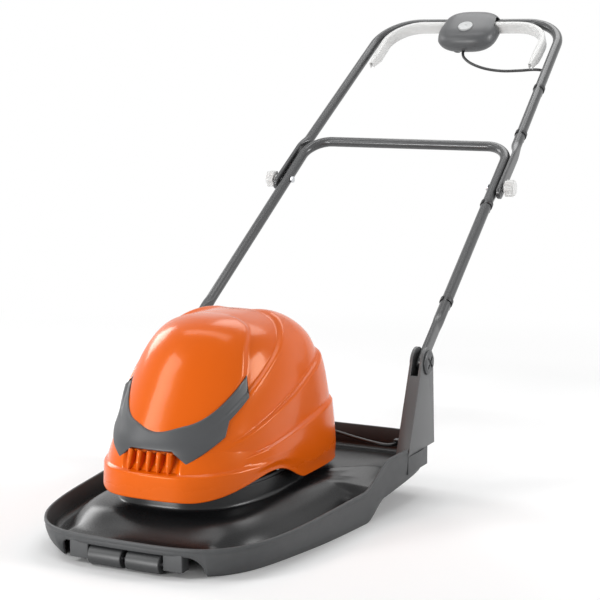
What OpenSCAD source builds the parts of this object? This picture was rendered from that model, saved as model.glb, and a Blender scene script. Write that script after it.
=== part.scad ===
// Electric hover mower: moulded hood, motor cover, belt-driven blade and folding tube handle.
// Millimetres. +Z is up, -Y is the front, and the origin lies on the ground under the blade axis.

/* [Blade and spindle] */
// Cutting width swept by the blade tips
cut_w = 350; // [300:1:356]
// Height of the blade's lower face above the ground
blade_z = 20; // [14:1:26]
// Thickness of the blade
blade_t = 3; // [2:0.5:4]
// Width of the blade
blade_w = 44; // [34:1:54]
// Diameter of the spindle
spindle_d = 15; // [12:1:17]
// Thickness of the spacer pack between blade and impeller
spacer_t = 8; // [4:1:12]
// Outer diameter of the impeller
impeller_d = 236; // [180:1:250]
// Height of the impeller's vanes
vane_h = 16; // [10:1:20]
// Number of impeller vanes
vane_count = 9; // [6:1:12]

/* [Belt drive and motor] */
// Effective diameter of the spindle pulley
spindle_pulley_d = 76; // [64:1:84]
// Effective diameter of the motor pulley
motor_pulley_d = 19; // [17:1:24]
// Width of the belt
belt_w = 12; // [8:1:14]
// Thickness of the belt
belt_t = 3; // [2:0.5:4]
// Distance from the blade axis forward to the motor axis
motor_offset = 85; // [78:1:92]
// Diameter of the motor's iron
stator_d = 92; // [80:1:98]
// Height of the motor's iron
stator_h = 60; // [50:1:66]
// Diameter of the armature
armature_d = 53; // [44:1:58]
// Diameter of the motor shaft
motor_shaft_d = 10; // [8:1:11]

/* [Hood] */
// Reach of the hood's rim in front of the blade axis
hood_front = 303; // [290:1:315]
// Reach of the hood's rim behind the blade axis
hood_rear = 328; // [322:1:340]
// Half width of the hood at the blade axis
hood_half_w = 228; // [224:1:232]
// Height of the rim at the front
rim_h = 47; // [42:1:54]
// Rise of the rim from the sides to the rear corners
rim_rise = 36; // [28:1:40]
// Wall of the hood
hood_wall = 3; // [2.5:0.25:3.5]
// Height of the dome's shoulder
shoulder_h = 64; // [60:1:66]
// Height of the deck that carries the drive
deck_z = 98; // [96:1:102]

/* [Motor cover] */
// Reach of the cover in front of the blade axis
cover_front = 232; // [226:1:240]
// Reach of the cover behind the blade axis
cover_rear = 204; // [196:1:214]
// Half width of the cover
cover_half_w = 142; // [138:1:150]
// Height of the cover's crown
cover_top = 346; // [336:1:360]
// Wall of the cover
cover_wall = 3; // [2.5:0.25:4]
// Depth of the sweeping steps on the flanks
sweep_depth = 7; // [3:0.5:9]
// Thickness of the front visor
visor_t = 4; // [2.5:0.5:6]

/* [Handle] */
// Half spacing of the lower handle's pivots
pivot_x = 235; // [233:0.5:236]
// Distance of the pivots behind the blade axis
pivot_y = 294; // [288:1:298]
// Height of the pivots
pivot_z = 232; // [222:1:240]
// Slope of the lower handle at rest
handle_angle = 34; // [30:0.5:38]
// Lean of the upper handle against the lower one
fold_lean = 1; // [0:0.25:2]
// Diameter of the handle tubes
tube_d = 20; // [18:0.5:22]
// Wall of the handle tubes
tube_wall = 0.9; // [0.8:0.1:1.5]
// Distance from the pivots to the lower cross bar
cross_s = 608; // [590:1:620]
// Half spacing of the lower legs at the cross bar
cross_x = 217; // [214:1:220]
// Distance from the pivots to the fold bolts
fold_s = 480; // [470:1:490]
// Distance from the pivots to the top bar
top_s = 1058; // [1040:1:1080]
// Half spacing of the upper legs at the top bar
top_x = 206; // [200:1:209]
// Bend radius of the lower handle's corners
cross_bend = 50; // [44:1:54]
// Bend radius of the upper handle's corners
top_bend = 88; // [70:1:92]
// Thickness of the lower legs' flattened ends
lower_flat_t = 10; // [8:0.5:10.5]
// Thickness of the upper legs' flattened ends
upper_flat_t = 8; // [6:0.5:8.5]

/* [Switch box] */
// Width of the switch box
box_w = 136; // [124:1:142]
// Length of the switch box along the handle
box_l = 122; // [116:1:128]
// Height of the switch box's upper half
box_up = 27; // [24:1:30]
// Depth of the switch box's lower half
box_down = 30; // [29:1:33]
// Diameter of the lock button
button_d = 26; // [22:1:28]
// Travel of the lock button
button_travel = 4; // [3:0.5:4.5]
// Diameter of the motor lead
lead_d = 6; // [5:0.5:6]

/* [Rollers] */
// Diameter of the front rollers
roller_d = 30; // [26:1:30]
// Length of one front roller
roller_l = 58; // [50:1:60]
// Diameter of the roller axle
axle_d = 6; // [5:0.5:7]

/* [Hidden] */
// Clearances: running fits in radius, loose seats, and the gap kept between moving pieces
run_gap = 0.05;
seat_gap = 0.2;
move_gap = 0.4;
joint_gap = 0.05;

// Hood outline, as a rounded trapezoid around the blade axis
hood_taper = 0.09;
front_corner = 4;
rear_corner = 10;
rim_lip = 4;
gutter_out = 14;
gutter_in = 45;
dome_mid = 62;
dome_edge = 86;
gutter_z = 20;
gutter_max_z = 62;
ramp_start = 80;
ramp_end = 142;
ramp_h = 30;
ramp_tail_h = 26;
flare_min = 8;
flare_more = 16;
flare_at = 42;
flare_spread = 28;
plinth_z = 70;
plinth_front = 203;
plinth_rear = 178;
plinth_half_w = 124;
plinth_corner = 2.6;
plinth_draft = 2;
flange_w = 18;
skirt_gap = 10;
hood_sides = 88;

// Roller bay in the hood's front edge
roller_y = -(hood_front - 13);
roller_z = roller_d / 2 + move_gap;
roller_space = 8;
lug_w = 33;
lug_d = 27;
lug_top = 36;
bay_half_w = roller_l + roller_space / 2 + 3 + lug_w;
bay_flare = 26;
bay_top = 32;
bay_back = 40;
lug_x = roller_l + roller_space / 2 + 3;
axle_l = 2 * (lug_x + lug_w) - 8;

// Handle brackets at the hood's rear corners
bracket_w = 23;
bracket_slot = 13;
bracket_foot_z = 84;
bracket_front_y = 211;
bracket_rear_y = 330;
bracket_head_r = 26;
bracket_web = 5;
bracket_notch_z = pivot_z - 19;
pivot_bolt_d = 8;
pivot_cap_d = 42;
pivot_cap_t = 5;
bracket_screw_d = 5;
bracket_head_d = 9;
bracket_screw_y = [235, 286];
bracket_screw_seat = bracket_foot_z - 24;
pad_bottom = bracket_foot_z - 32;
pad_l = 88;
bracket_foot_t = 6;

// Drive: deck plate, bearings and pulleys
deck_t = 4;
deck_top = deck_z + deck_t;
deck_inset = 4;
housing_d = 46;
housing_bottom = 62;
bearing_d = 35;
bearing_t = 11;
low_bearing_z = housing_bottom + 2;
high_bearing_z = deck_top - bearing_t - 1;
groove_count = 5;
groove_depth = 2;
pulley_flange = 2;
pulley_z = deck_top + 4;
pulley_h = belt_w + 2 * pulley_flange + 2;
belt_z = pulley_z + pulley_flange + 1;
impeller_z = blade_z + blade_t + spacer_t;
impeller_plate = 3;
shoulder_d = spindle_d + 8;
motor_y = -motor_offset;
motor_z = pulley_z + pulley_h + 8;
motor_plate_t = 5;
bell_h = 18;
stator_z = motor_z + bell_h;
upper_bell_z = stator_z + stator_h;
upper_bell_h = 40;
brush_up = 17;
brush_z = upper_bell_z + brush_up;
motor_bearing_d = 28;
motor_bearing_t = 9;
commutator_d = 30;
commutator_h = 20;
fan_d = 78;
fan_h = 11;
shaft_low = pulley_z - 2;
fan_z = upper_bell_z + upper_bell_h + 3;
shaft_high = fan_z + fan_h + 3;
pillar_r = 53;
pillar_angles = [25, 155, 225, 315];
pillar_d = 11;
post_d = 13;
post_places = [[90, -108], [-90, -108], [84, 96], [-84, 96]];
deck_screw_angles = [25, 80, 155, 205, 280, 335];
screw_d = 4;
screw_head_d = 8;
screw_head_h = 3;

// Handle: flattened ends, fold joint, knobs
leg_lean = atan((pivot_x - cross_x) / cross_s);
flat_w = 26;
lower_flat_end = 85;
lower_round = 115;
fold_gap = 1.8;
upper_flat_end = 580;
upper_round = 614;
strap_off = tube_d / 2 + fold_gap + upper_flat_t / 2;
fold_bolt_d = 6;
knob_d = 34;
knob_h = 22;
knob_lobes = 6;
upper_start_x = pivot_x + strap_off + upper_flat_t / 2 - tube_d / 2 - upper_round * tan(leg_lean);
clip_w = 9;
clip_wall = 2;
lower_clips = [150, 424];
upper_clips = [648, 806];

// Switch box and lever
box_s = top_s - 34;
box_wall = 2.5;
box_corner = 3;
box_edge = [2.6, 3.6];
box_sides = 40;
lever_s = top_s - 21.5;
lever_t = 13;
lever_n = 4;
lever_depth = 24;
lever_wall = 2;
lever_bend = 72;
lever_inset = 26;
lever_end = top_s - 178;
lever_pivot_n = -19;
lever_pin_d = 6;
lever_x = top_x - lever_inset;
button_s = top_s - 52;
button_h = 7;
spring_seat_n = -8;
seat_w = 20;
button_stem_d = 8;
spring_turns = 5;
spring_wire = 1.2;
// Mains inlet: a short sleeve in the box's lower end
inlet_d = 9;
inlet_l = 28;
inlet_tilt = 40;
inlet_x = -18;
inlet_n = -28;
inlet_s = box_s - 60;

// Routes of the motor lead, by hand: along the upper handle, the lower handle and the deck
lead_sides = 8;
loop_route = [[0, 978, -14], [0, 963, -14.4], [9, 946, -16], [32, 926, -17], [68, 908, -17], [108, 900, -17],
    [146, 902, -17], [178, 906, -17], [200, 900, -16], [211.5, 882, -14.8], [214.5, 856, -13.8]];
fold_stretch = [[223, 556, -17.5], [221.5, 520, -18], [221, 485, -18], [221.4, 462, -15.8], [222, 440, -13.4]];
pivot_stretch = [[228, 380, 268], [221, 362, 240], [217, 342, 206], [216, 320, 162], [215, 302, 130]];
deck_route = [[215, 302, 130], [215, 284, 112], [215, 264, 103], [215, 240, 99], [211, 224, 98.5], [200, 216, 99],
    [180, 215, 101], [150, 219, 104], [120, 226, 107], [92, 232, 110], [70, 231, 112], [57, 222, 113.5],
    [52, 208, 114], [52, 186, 114]];

$fn = 48;

// Colours
orange = "darkorange";
hood_grey = [0.2, 0.2, 0.21];
visor_grey = [0.29, 0.3, 0.31];
tube_grey = [0.33, 0.34, 0.35];
black = [0.08, 0.08, 0.08];
white = [0.93, 0.93, 0.92];
pale_grey = [0.75, 0.76, 0.76];
steel = [0.62, 0.63, 0.65];
copper = [0.72, 0.42, 0.22];
iron = [0.4, 0.41, 0.42];

// Ease from 0 to 1
function ease(t) = let (u = min(max(t, 0), 1)) u * u * (3 - 2 * u);
function spow(v, e) = sign(v) * pow(abs(v), e);
function mix(a, b, t) = a + (b - a) * t;
function fold_deg(a) = abs(((a + 180) % 360 + 360) % 360 - 180);

// Closed skin over rings of equal length; the first and last rings are closed by fans, or joined for a loop
module skin(rings, loop = false) {
    n = len(rings);
    m = len(rings[0]);
    points = [for (r = rings) each r];
    rows = loop ? n : n - 1;
    sides = [for (i = [0:rows - 1], j = [0:m - 1])
        let (k = (i + 1) % n, l = (j + 1) % m)
        each [[i * m + j, i * m + l, k * m + l], [i * m + j, k * m + l, k * m + j]]];
    caps = loop ? [] : [[for (j = [m - 1:-1:0]) j], [for (j = [0:m - 1]) (n - 1) * m + j]];
    polyhedron(points, concat(sides, caps));
}

// Round tube swept along points
function unit(v) = v / norm(v);
function path_dir(p, i) = unit(p[min(i + 1, len(p) - 1)] - p[max(i - 1, 0)]);
module sweep_tube(path, d, sides) {
    side = [for (i = [0:len(path) - 1]) let (t = path_dir(path, i))
        abs(t[2]) > 0.9 ? unit(cross([0, 1, 0], t)) : unit(cross([0, 0, 1], t))];
    rings = [for (i = [0:len(path) - 1]) let (t = path_dir(path, i), a = side[i], b = cross(t, a))
        [for (k = [0:sides - 1]) path[i] + d / 2 * (cos(360 * k / sides) * a + sin(360 * k / sides) * b)]];
    skin(rings);
}

// Straight bar between two points
module rod(a, b, d) {
    v = b - a;
    translate(a) rotate([0, acos(v[2] / norm(v)), atan2(v[1], v[0])]) cylinder(d = d, h = norm(v));
}

module ring(outer, inner, h) {
    difference() {
        cylinder(d = outer, h = h);
        translate([0, 0, -1]) cylinder(d = inner, h = h + 2);
    }
}

module screw(d, l, head_d, head_h) {
    cylinder(d = head_d, h = head_h);
    cylinder(d = d, h = head_h + l);
}

module both_sides() {
    children();
    mirror([1, 0, 0]) children();
}

// Frames of the two handles
module handle_frame() {
    translate([0, pivot_y, pivot_z]) rotate([handle_angle, 0, 0]) children();
}
module upper_frame() {
    handle_frame() translate([0, fold_s, 0]) rotate([-fold_lean, 0, 0]) translate([0, -fold_s, 0]) children();
}
// Frame of a lower leg: Y runs up the leg from its pivot
module leg_frame() {
    translate([pivot_x, 0, 0]) rotate([0, 0, leg_lean]) children();
}

// Hood surface: radius and height of each moulding line in direction a, where 0 is the front
function rim_r(a, r = 300, i = 0) = let (
    n = cos(a) >= 0 ? front_corner : rear_corner,
    reach = cos(a) >= 0 ? hood_front : hood_rear,
    w = hood_half_w - hood_taper * r * cos(a),
    q = pow(pow(abs(sin(a) / w), n) + pow(abs(cos(a) / reach), n), -1 / n))
    i == 8 ? q : rim_r(a, q, i + 1);
function plinth_r(a) = pow(pow(abs(sin(a) / plinth_half_w), plinth_corner)
    + pow(abs(cos(a)) / (cos(a) >= 0 ? plinth_front : plinth_rear), plinth_corner), -1 / plinth_corner);
function deck_screw_place(a) = let (r = plinth_r(a) - plinth_draft - flange_w / 2 + 1) [r * sin(a), -r * cos(a)];
function flare(a) = flare_min + flare_more * exp(-pow((fold_deg(a) - flare_at) / flare_spread, 2));
function foot_z(y) = ramp_h * ease((y - ramp_start) / (ramp_end - ramp_start))
    + ramp_tail_h * min(max((y - ramp_end) / (hood_rear - ramp_end), 0), 1);
function rim_z(y) = rim_h + 0.03 * (y + hood_front) + rim_rise * ease((y - 60) / 90);
// Gutter floor, raised at the front to pass over the rollers
function floor_z(a, y) = min(gutter_z + foot_z(y), gutter_max_z)
    + (lug_top - gutter_z) * ease((33 - fold_deg(a)) / 9);
function hood_top(a) = let (r = rim_r(a), p = plinth_r(a), y = -r * cos(a), g = floor_z(a, y), e = dome_edge)
    [[r, rim_z(y)], [r - rim_lip, rim_z(y)], [r - gutter_out - 0.4 * flare(a), g], [r - gutter_in, g + 2],
    [r - dome_mid, max(46, g + 6)], [r - e, max(shoulder_h, g + 10)], [p, max(plinth_z, g + 11)],
    [p - plinth_draft, deck_z], [p - flange_w, deck_z]];
function top_z(line, r, i = 0) = i > 5 ? line[6][1]
    : r <= line[i][0] && r >= line[i + 1][0]
        ? mix(line[i][1], line[i + 1][1], (r - line[i][0]) / (line[i + 1][0] - line[i][0])) : top_z(line, r, i + 1);
function skirt_r(a) = max(cut_w / 2 + skirt_gap, plinth_r(a) + 4);
function hood_profile(a) = let (top = hood_top(a), s = skirt_r(a), w = hood_wall, drop = hood_wall * 1.3,
    p = plinth_r(a), foot = rim_r(a) - flare(a), fz = foot_z(-foot * cos(a)),
    under = function (r) top_z(top, r) - drop,
    inside = [for (i = [0:3]) min(top[5 - i][0], s - 0.6 * (4 - i))],
    outside = [for (i = [0:3]) max(top[5 - i][0], s + w + 0.6 * (i + 1))])
    concat([[foot, fz]], top, [[p - flange_w, deck_z - w], [p - w - plinth_draft, deck_z - w],
        [p - w, top[6][1] - drop]],
        [for (r = inside) [r, under(r)]], [[s, under(s)], [s, 0], [s + w, 0], [s + w, under(s + w)]],
        [for (r = outside) [r, under(r)]], [[foot - w, fz]]);
function hood_angle(k) = let (t = 360 * k / hood_sides) atan2(spow(sin(t), 0.75), 1.3 * spow(cos(t), 0.75));

module hood_shell() {
    skin([for (k = [0:hood_sides - 1]) let (a = hood_angle(k))
        [for (p = hood_profile(a)) [p[0] * sin(a), -p[0] * cos(a), p[1]]]], loop = true);
}

module roller_lug() {
    difference() {
        translate([lug_x, roller_y - 12, 2]) cube([lug_w, lug_d, lug_top - 2.5]);
        translate([0, roller_y, roller_z]) rotate([0, 90, 0]) cylinder(d = axle_d, h = lug_x + lug_w - 4);
    }
}

// Bay that opens the front edge over the rollers, with slanting ends
module roller_bay() {
    translate([0, -hood_front + bay_back, 0]) rotate([90, 0, 0]) linear_extrude(bay_back + 20)
        polygon([[-bay_half_w - bay_flare, -1], [bay_half_w + bay_flare, -1], [bay_half_w + 2, bay_top],
            [-bay_half_w - 2, bay_top]]);
}

module bracket_pad() {
    translate([pivot_x - bracket_w / 2, bracket_front_y, pad_bottom])
        cube([bracket_w, pad_l, bracket_foot_z - pad_bottom]);
}

module hood() {
    color(hood_grey) difference() {
        union() {
            difference() {
                hood_shell();
                roller_bay();
                both_sides() translate([pivot_x - bracket_w / 2 - 2, bracket_front_y - 2, bracket_foot_z])
                    cube([60, 160, 60]);
            }
            both_sides() roller_lug();
            both_sides() bracket_pad();
        }
        for (a = deck_screw_angles) translate(deck_screw_place(a)) translate([0, 0, deck_z - 10])
            cylinder(d = screw_d, h = 20);
        both_sides() for (y = bracket_screw_y) translate([pivot_x, y, 0]) {
            translate([0, 0, bracket_foot_z - 40]) cylinder(d = bracket_screw_d, h = 41);
            translate([0, 0, bracket_screw_seat - 40]) cylinder(d = bracket_head_d + 1, h = 40);
        }
    }
}

// Motor cover: outlines at rising levels, each a rounded form with its own front, side and rear reach.
// A level is [front inset, height], [side inset, height], [rear inset, height], front and rear corner
cover_mid_y = 40;
cover_foot = [92, 84, 84];
cover_levels = [
    [[0, 0], [0, 0], [0, 0], 3, 4.5],
    [[1, 0.15], [2, 0.16], [2, 0.14], 3, 4.5],
    [[10, 0.28], [5, 0.31], [6, 0.31], 2.7, 4.2],
    [[34, 0.41], [9, 0.46], [14, 0.48], 2.5, 4],
    [[74, 0.62], [17, 0.65], [30, 0.67], 2.4, 3.6],
    [[115, 0.82], [32, 0.82], [50, 0.82], 2.3, 3.2],
    [[154, 0.94], [60, 0.93], [84, 0.92], 2.2, 2.8],
    [[207, 0.995], [102, 0.985], [124, 0.98], 2, 2.2]];
cover_sides = 80;
cover_rows = 26;
lining_rows = 9;
nose_y = -(cover_front + 48);
nose_z = 128;
sweep_angles = [8.5, 19.5, 32.6];
bonnet_angle = 38;
flank_start = -190;

function level_point(k, a, wall) = let (v = cover_levels[k], front = cos(a) >= 0, n = front ? v[3] : v[4],
    c2 = cos(a) * cos(a), s2 = 1 - c2, end = front ? 0 : 2,
    reach = (front ? cover_front + cover_mid_y : cover_rear - cover_mid_y) - v[end][0] - wall,
    w = cover_half_w - v[1][0] - wall,
    r = pow(pow(abs(sin(a)) / w, n) + pow(abs(cos(a)) / reach, n), -1 / n),
    z = function (i) cover_foot[i] + (cover_top - cover_foot[i]) * v[i][1],
    d = fold_deg(a),
    lift = k == 0 ? 34 * ease((d - 12) / 34) * ease((84 - d) / 14)
        : k == 1 ? 14 * ease((d - 18) / 34) * ease((95 - d) / 25) : 0)
    [r * sin(a), cover_mid_y - r * cos(a), z(end) * c2 + z(1) * s2 + lift - wall * k / 8];
function key_point(k, a, wall) = k < 8 ? level_point(max(k, 0), a, wall) : [0, cover_mid_y - 5, cover_top - wall];
// Smooth curve through the levels, t from 0 at the foot to 1 at the crown
function cover_base(a, t, wall = 0) = let (x = min(t, 0.9999) * 8, i = floor(x), f = x - i,
    p = key_point(i - 1, a, wall), q = key_point(i, a, wall), r = key_point(i + 1, a, wall),
    s = key_point(i + 2, a, wall))
    0.5 * (2 * q + (r - p) * f + (2 * p - 5 * q + 4 * r - s) * f * f + (3 * q - p - 3 * r + s) * f * f * f);
// Steps that sweep from the nose up the flank: each starts proud and dies away towards the next
function sweep_step(b) = b > bonnet_angle ? 0.75 * ease((b - bonnet_angle) / 2.5)
    : b > sweep_angles[2] ? 0
    : b > sweep_angles[1] ? ease((sweep_angles[2] - b) / 2) * mix(0.15, 1, (b - sweep_angles[1]) / 13)
    : b > sweep_angles[0] ? ease((sweep_angles[1] - b) / 1.8) * mix(0.15, 1, (b - sweep_angles[0]) / 11)
    : ease((sweep_angles[0] - b) / 1.5) * mix(0.1, 0.8, (b + 8) / 16.5);
function cover_point(a, t, out = 0) = let (p = cover_base(a, t),
    b = atan2(p[2] - nose_z, p[1] - nose_y),
    fade = ease((p[1] - flank_start) / 110) * ease((150 - fold_deg(a)) / 24) * ease((0.93 - t) / 0.12)
        * ease((t - 0.02) / 0.06),
    d = out + sweep_depth * fade * sweep_step(b), up = 0.35 * ease((t - 0.4) / 0.4))
    p + d * [sin(a) * (1 - up), -cos(a) * (1 - up), up * 1.6];

module cover_shell() {
    m = cover_sides;
    outer = [for (i = [0:cover_rows - 1]) [for (k = [0:m - 1]) cover_point(360 * k / m, i / cover_rows)]];
    inner = [for (i = [0:lining_rows - 1])
        [for (k = [0:m - 1]) cover_base(360 * k / m, i / lining_rows, cover_wall)]];
    // Both skins start at the foot; the lining's first ring stays level with the cover's edge
    rows = concat([for (i = [lining_rows - 1:-1:0]) inner[i]], outer);
    n = len(rows);
    points = concat([for (r = rows) each r], [[0, cover_mid_y - 5, cover_top - cover_wall],
        [0, cover_mid_y - 5, cover_top]]);
    sides = [for (i = [0:n - 2], j = [0:m - 1]) let (l = (j + 1) % m)
        each [[i * m + j, (i + 1) * m + l, i * m + l], [i * m + j, (i + 1) * m + j, (i + 1) * m + l]]];
    low = [for (j = [0:m - 1]) [n * m, j, (j + 1) % m]];
    high = [for (j = [0:m - 1]) [n * m + 1, (n - 1) * m + (j + 1) % m, (n - 1) * m + j]];
    polyhedron(points, concat(sides, low, high));
}

// Louvre under the visor: ribs standing on the sloping nose, with air slots between them
rib_space = 17.5;
rib_d = 7;
rib_low = 136;
rib_high = 161;
function nose_height(a, z, lo = 0, hi = 0.7, i = 0) = let (t = (lo + hi) / 2)
    i == 14 ? t : cover_base(a, t)[2] < z ? nose_height(a, z, t, hi, i + 1) : nose_height(a, z, lo, t, i + 1);
module nose_rib(x) {
    a = atan2(x, cover_front + cover_mid_y);
    low = cover_base(a, nose_height(a, rib_low));
    high = cover_base(a, nose_height(a, rib_high));
    rod(low, high, rib_d);
    translate(low) sphere(d = rib_d);
}
module nose_slot(x) {
    a = atan2(x, cover_front + cover_mid_y);
    p = cover_base(a, nose_height(a, rib_high - 9));
    translate([p[0] - 3.5, p[1] - 12, p[2] - 7]) cube([7, 24, 15]);
}

module cover_posts() {
    for (p = post_places) translate([p[0], p[1], deck_top]) cylinder(d = post_d, h = post_height(p));
}
// A post reaches from the deck to the cover's lining above it
function post_angle(p) = atan2(p[0], cover_mid_y - p[1]);
function post_t(p, lo = 0, hi = 1, i = 0) = let (t = (lo + hi) / 2, q = cover_base(post_angle(p), t),
    far = norm([q[0], q[1] - cover_mid_y]) > norm([p[0], p[1] - cover_mid_y]) + post_d / 2 + 1)
    i == 14 ? t : far ? post_t(p, t, hi, i + 1) : post_t(p, lo, t, i + 1);
function post_height(p) = cover_base(post_angle(p), post_t(p))[2] - deck_top;

module motor_cover() {
    color(orange) difference() {
        union() {
            difference() {
                cover_shell();
                for (x = [-2:1]) nose_slot((x + 0.5) * rib_space);
            }
            for (x = [-2:2]) nose_rib(x * rib_space);
            cover_posts();
        }
        for (p = post_places) translate([p[0], p[1], deck_top - 1]) cylinder(d = screw_d, h = 21);
        translate([0, cover_rear - 30, lead_exit[2]]) rotate([-90, 0, 0])
            translate([lead_exit[0], 0, 0]) cylinder(d = grommet_d, h = 60);
    }
}
lead_exit = deck_route[len(deck_route) - 1];
grommet_d = lead_d + 6;

// Visor: a band on the cover's front between two edges, swept up into wings on both flanks
visor_span = 37;
visor_cols = 38;
visor_rows = 4;
function visor_top(d) = d < 12 ? 191 + 12 * ease(d / 14) : mix(200.5, 265, ease((d - 8) / 42) * 1.06);
function visor_low(d) = d < 8 ? 166 : d < 13 ? mix(166, 147, (d - 8) / 5) : d < 26 ? mix(147, 184, (d - 13) / 13)
    : d < 27.5 ? mix(184, 206, (d - 26) / 1.5) : mix(206, 236, (d - 27.5) / 9.5);
function visor_grid(out, wing_gap) = [for (i = [0:visor_rows]) [for (k = [0:visor_cols])
    let (a = mix(-visor_span, visor_span, k / visor_cols), d = abs(a),
        z = mix(visor_low(d), visor_top(d), i / visor_rows))
    cover_point(a, nose_height(a, z), out + wing_gap * ease((d - 22) / 8))]];

module front_visor() {
    outer = visor_grid(visor_t, 0.7);
    inner = visor_grid(seat_gap + 0.3, 2.3);
    n = visor_rows;
    color(visor_grey) skin([for (k = [0:visor_cols])
        concat([for (i = [0:n]) outer[i][k]], [for (i = [n:-1:0]) inner[i][k]])]);
}

module cover_screws() {
    color(steel) for (p = post_places)
        translate([p[0], p[1], deck_z - screw_head_h]) screw(screw_d, deck_t + 14, screw_head_d, screw_head_h);
}

// Deck plate: closes the hood's plinth, carries the spindle's bearings and the motor's pillars
module deck_outline() {
    polygon([for (k = [0:71]) let (a = 5 * k, r = plinth_r(a) - deck_inset) [r * sin(a), -r * cos(a)]]);
}
module pillar_ring(r) {
    translate([0, motor_y, 0]) for (a = pillar_angles) rotate(a) translate([r, 0, 0]) children();
}
module deck_plate() {
    color(hood_grey) difference() {
        union() {
            translate([0, 0, deck_z]) linear_extrude(deck_t) deck_outline();
            translate([0, 0, housing_bottom]) cylinder(d = housing_d, h = deck_z - housing_bottom + 1);
            for (k = [0:5]) rotate(60 * k) translate([housing_d / 2 - 1, -2, deck_z - 16]) cube([44, 4, 17]);
            pillar_ring(pillar_r) translate([0, 0, deck_z + 1]) cylinder(d = pillar_d, h = motor_z - deck_z - 1);
        }
        translate([0, 0, low_bearing_z - 3]) cylinder(d = bearing_d - 7, h = deck_top);
        translate([0, 0, housing_bottom - 1]) cylinder(d = bearing_d, h = bearing_t + low_bearing_z - housing_bottom + 1);
        translate([0, 0, high_bearing_z]) cylinder(d = bearing_d, h = deck_top);
        for (k = [0:5]) rotate(30 + 60 * k) translate([54, 0, deck_z - 1]) cylinder(d = 22, h = deck_t + 2);
        for (p = concat(post_places, [for (a = deck_screw_angles) deck_screw_place(a)]))
            translate([p[0], p[1], deck_z - 1]) cylinder(d = screw_d + 2 * seat_gap, h = deck_t + 2);
        pillar_ring(pillar_r) translate([0, 0, motor_z - 14]) cylinder(d = screw_d, h = 15);
    }
}
module deck_screws() {
    color(steel) for (a = deck_screw_angles) translate(deck_screw_place(a))
        translate([0, 0, deck_top + screw_head_h]) rotate([180, 0, 0]) screw(screw_d, deck_t + 6, screw_head_d, screw_head_h);
}

// Ball bearing with its shields set back from the rings
module bearing(outer, inner, t) {
    difference() {
        ring(outer, inner, t);
        for (z = [-1, t - 0.8]) translate([0, 0, z]) ring(outer - 5, inner + 5, 1.8);
    }
}
module spindle_bearings() {
    color(steel) for (z = [low_bearing_z, high_bearing_z]) translate([0, 0, z])
        bearing(bearing_d, spindle_d + 2 * run_gap, bearing_t);
}

// Spindle group
module spindle() {
    color(steel) {
        translate([0, 0, impeller_z]) cylinder(d = spindle_d, h = pulley_z + pulley_h + 10 - impeller_z);
        translate([0, 0, impeller_z + impeller_plate + vane_h + 4])
            cylinder(d = shoulder_d, h = low_bearing_z - impeller_z - impeller_plate - vane_h - 4 - move_gap);
    }
}
// Grooved belt pulley
module pulley(d, bore, h) {
    step = belt_w / groove_count;
    r = d / 2;
    first = pulley_flange + 1;
    rotate_extrude() polygon(concat([[bore / 2, 0], [r + 3, 0], [r + 3, pulley_flange], [r, first - 0.5], [r, first]],
        [for (k = [0:groove_count - 1]) each [[r - groove_depth, first + (k + 0.5) * step], [r, first + (k + 1) * step]]],
        [[r, h - first + 0.5], [r + 3, h - pulley_flange], [r + 3, h], [bore / 2, h]]));
}
module spindle_pulley() {
    color(black) translate([0, 0, pulley_z]) difference() {
        pulley(spindle_pulley_d, spindle_d, pulley_h);
        for (k = [0:5]) rotate(60 * k) translate([23, 0, -1]) cylinder(d = 13, h = pulley_h + 2);
    }
}
module spindle_nut() {
    color(steel) translate([0, 0, pulley_z + pulley_h]) difference() {
        cylinder(d = 26, h = 8, $fn = 6);
        translate([0, 0, -1]) cylinder(d = spindle_d, h = 10);
    }
}
// Impeller: a disc with backward-curved vanes under the hood
module impeller() {
    vane_r = impeller_d / 2;
    color(black) translate([0, 0, impeller_z]) difference() {
        union() {
            cylinder(d = impeller_d, h = impeller_plate, $fn = 96);
            cylinder(d = spindle_d + 22, h = impeller_plate + vane_h + 4);
            translate([0, 0, impeller_plate]) intersection() {
                cylinder(r = vane_r, h = vane_h, $fn = 96);
                for (k = [0:vane_count - 1]) rotate(360 * k / vane_count) translate([vane_r / 2 + 6, vane_r / 2, 0])
                    difference() {
                        ring(vane_r + 16, vane_r + 11, vane_h);
                        translate([-vane_r, 0, -1]) cube([2 * vane_r, vane_r, vane_h + 2]);
                        translate([-vane_r - 6, -vane_r, -1]) cube([vane_r, vane_r + 1, vane_h + 2]);
                    }
            }
        }
        translate([0, 0, -1]) cylinder(d = spindle_d, h = impeller_plate + vane_h + 6);
    }
}
module blade_spacers() {
    color(pale_grey) for (k = [0:1]) translate([0, 0, blade_z + blade_t + k * spacer_t / 2])
        ring(58, 12, spacer_t / 2);
}
// Blade: bar with tapered cutting ends and a turned-up trailing edge
module blade() {
    tip = cut_w / 2;
    edge = 62;
    wing = 7;
    color(steel) translate([0, 0, blade_z]) difference() {
        union() {
            intersection() {
                translate([-tip, -blade_w / 2, 0]) cube([2 * tip, blade_w, blade_t]);
                cylinder(r = tip, h = blade_t, $fn = 96);
            }
            for (k = [0, 180]) rotate(k) translate([tip - edge - 10, blade_w / 2 - 6, 0]) rotate([90, 0, 90])
                linear_extrude(edge) polygon([[0, 0], [6, 0], [6, wing], [3.5, wing], [0, blade_t]]);
        }
        for (k = [0, 180]) rotate(k) translate([tip - edge, -blade_w / 2, 0]) rotate([90, 0, 90])
            translate([0, 0, 0]) linear_extrude(edge + 1) polygon([[-1, 0.6], [9, blade_t + 0.1], [-1, blade_t + 0.1]]);
        translate([0, 0, -1]) cylinder(d = 12, h = blade_t + 2);
    }
}
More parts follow.
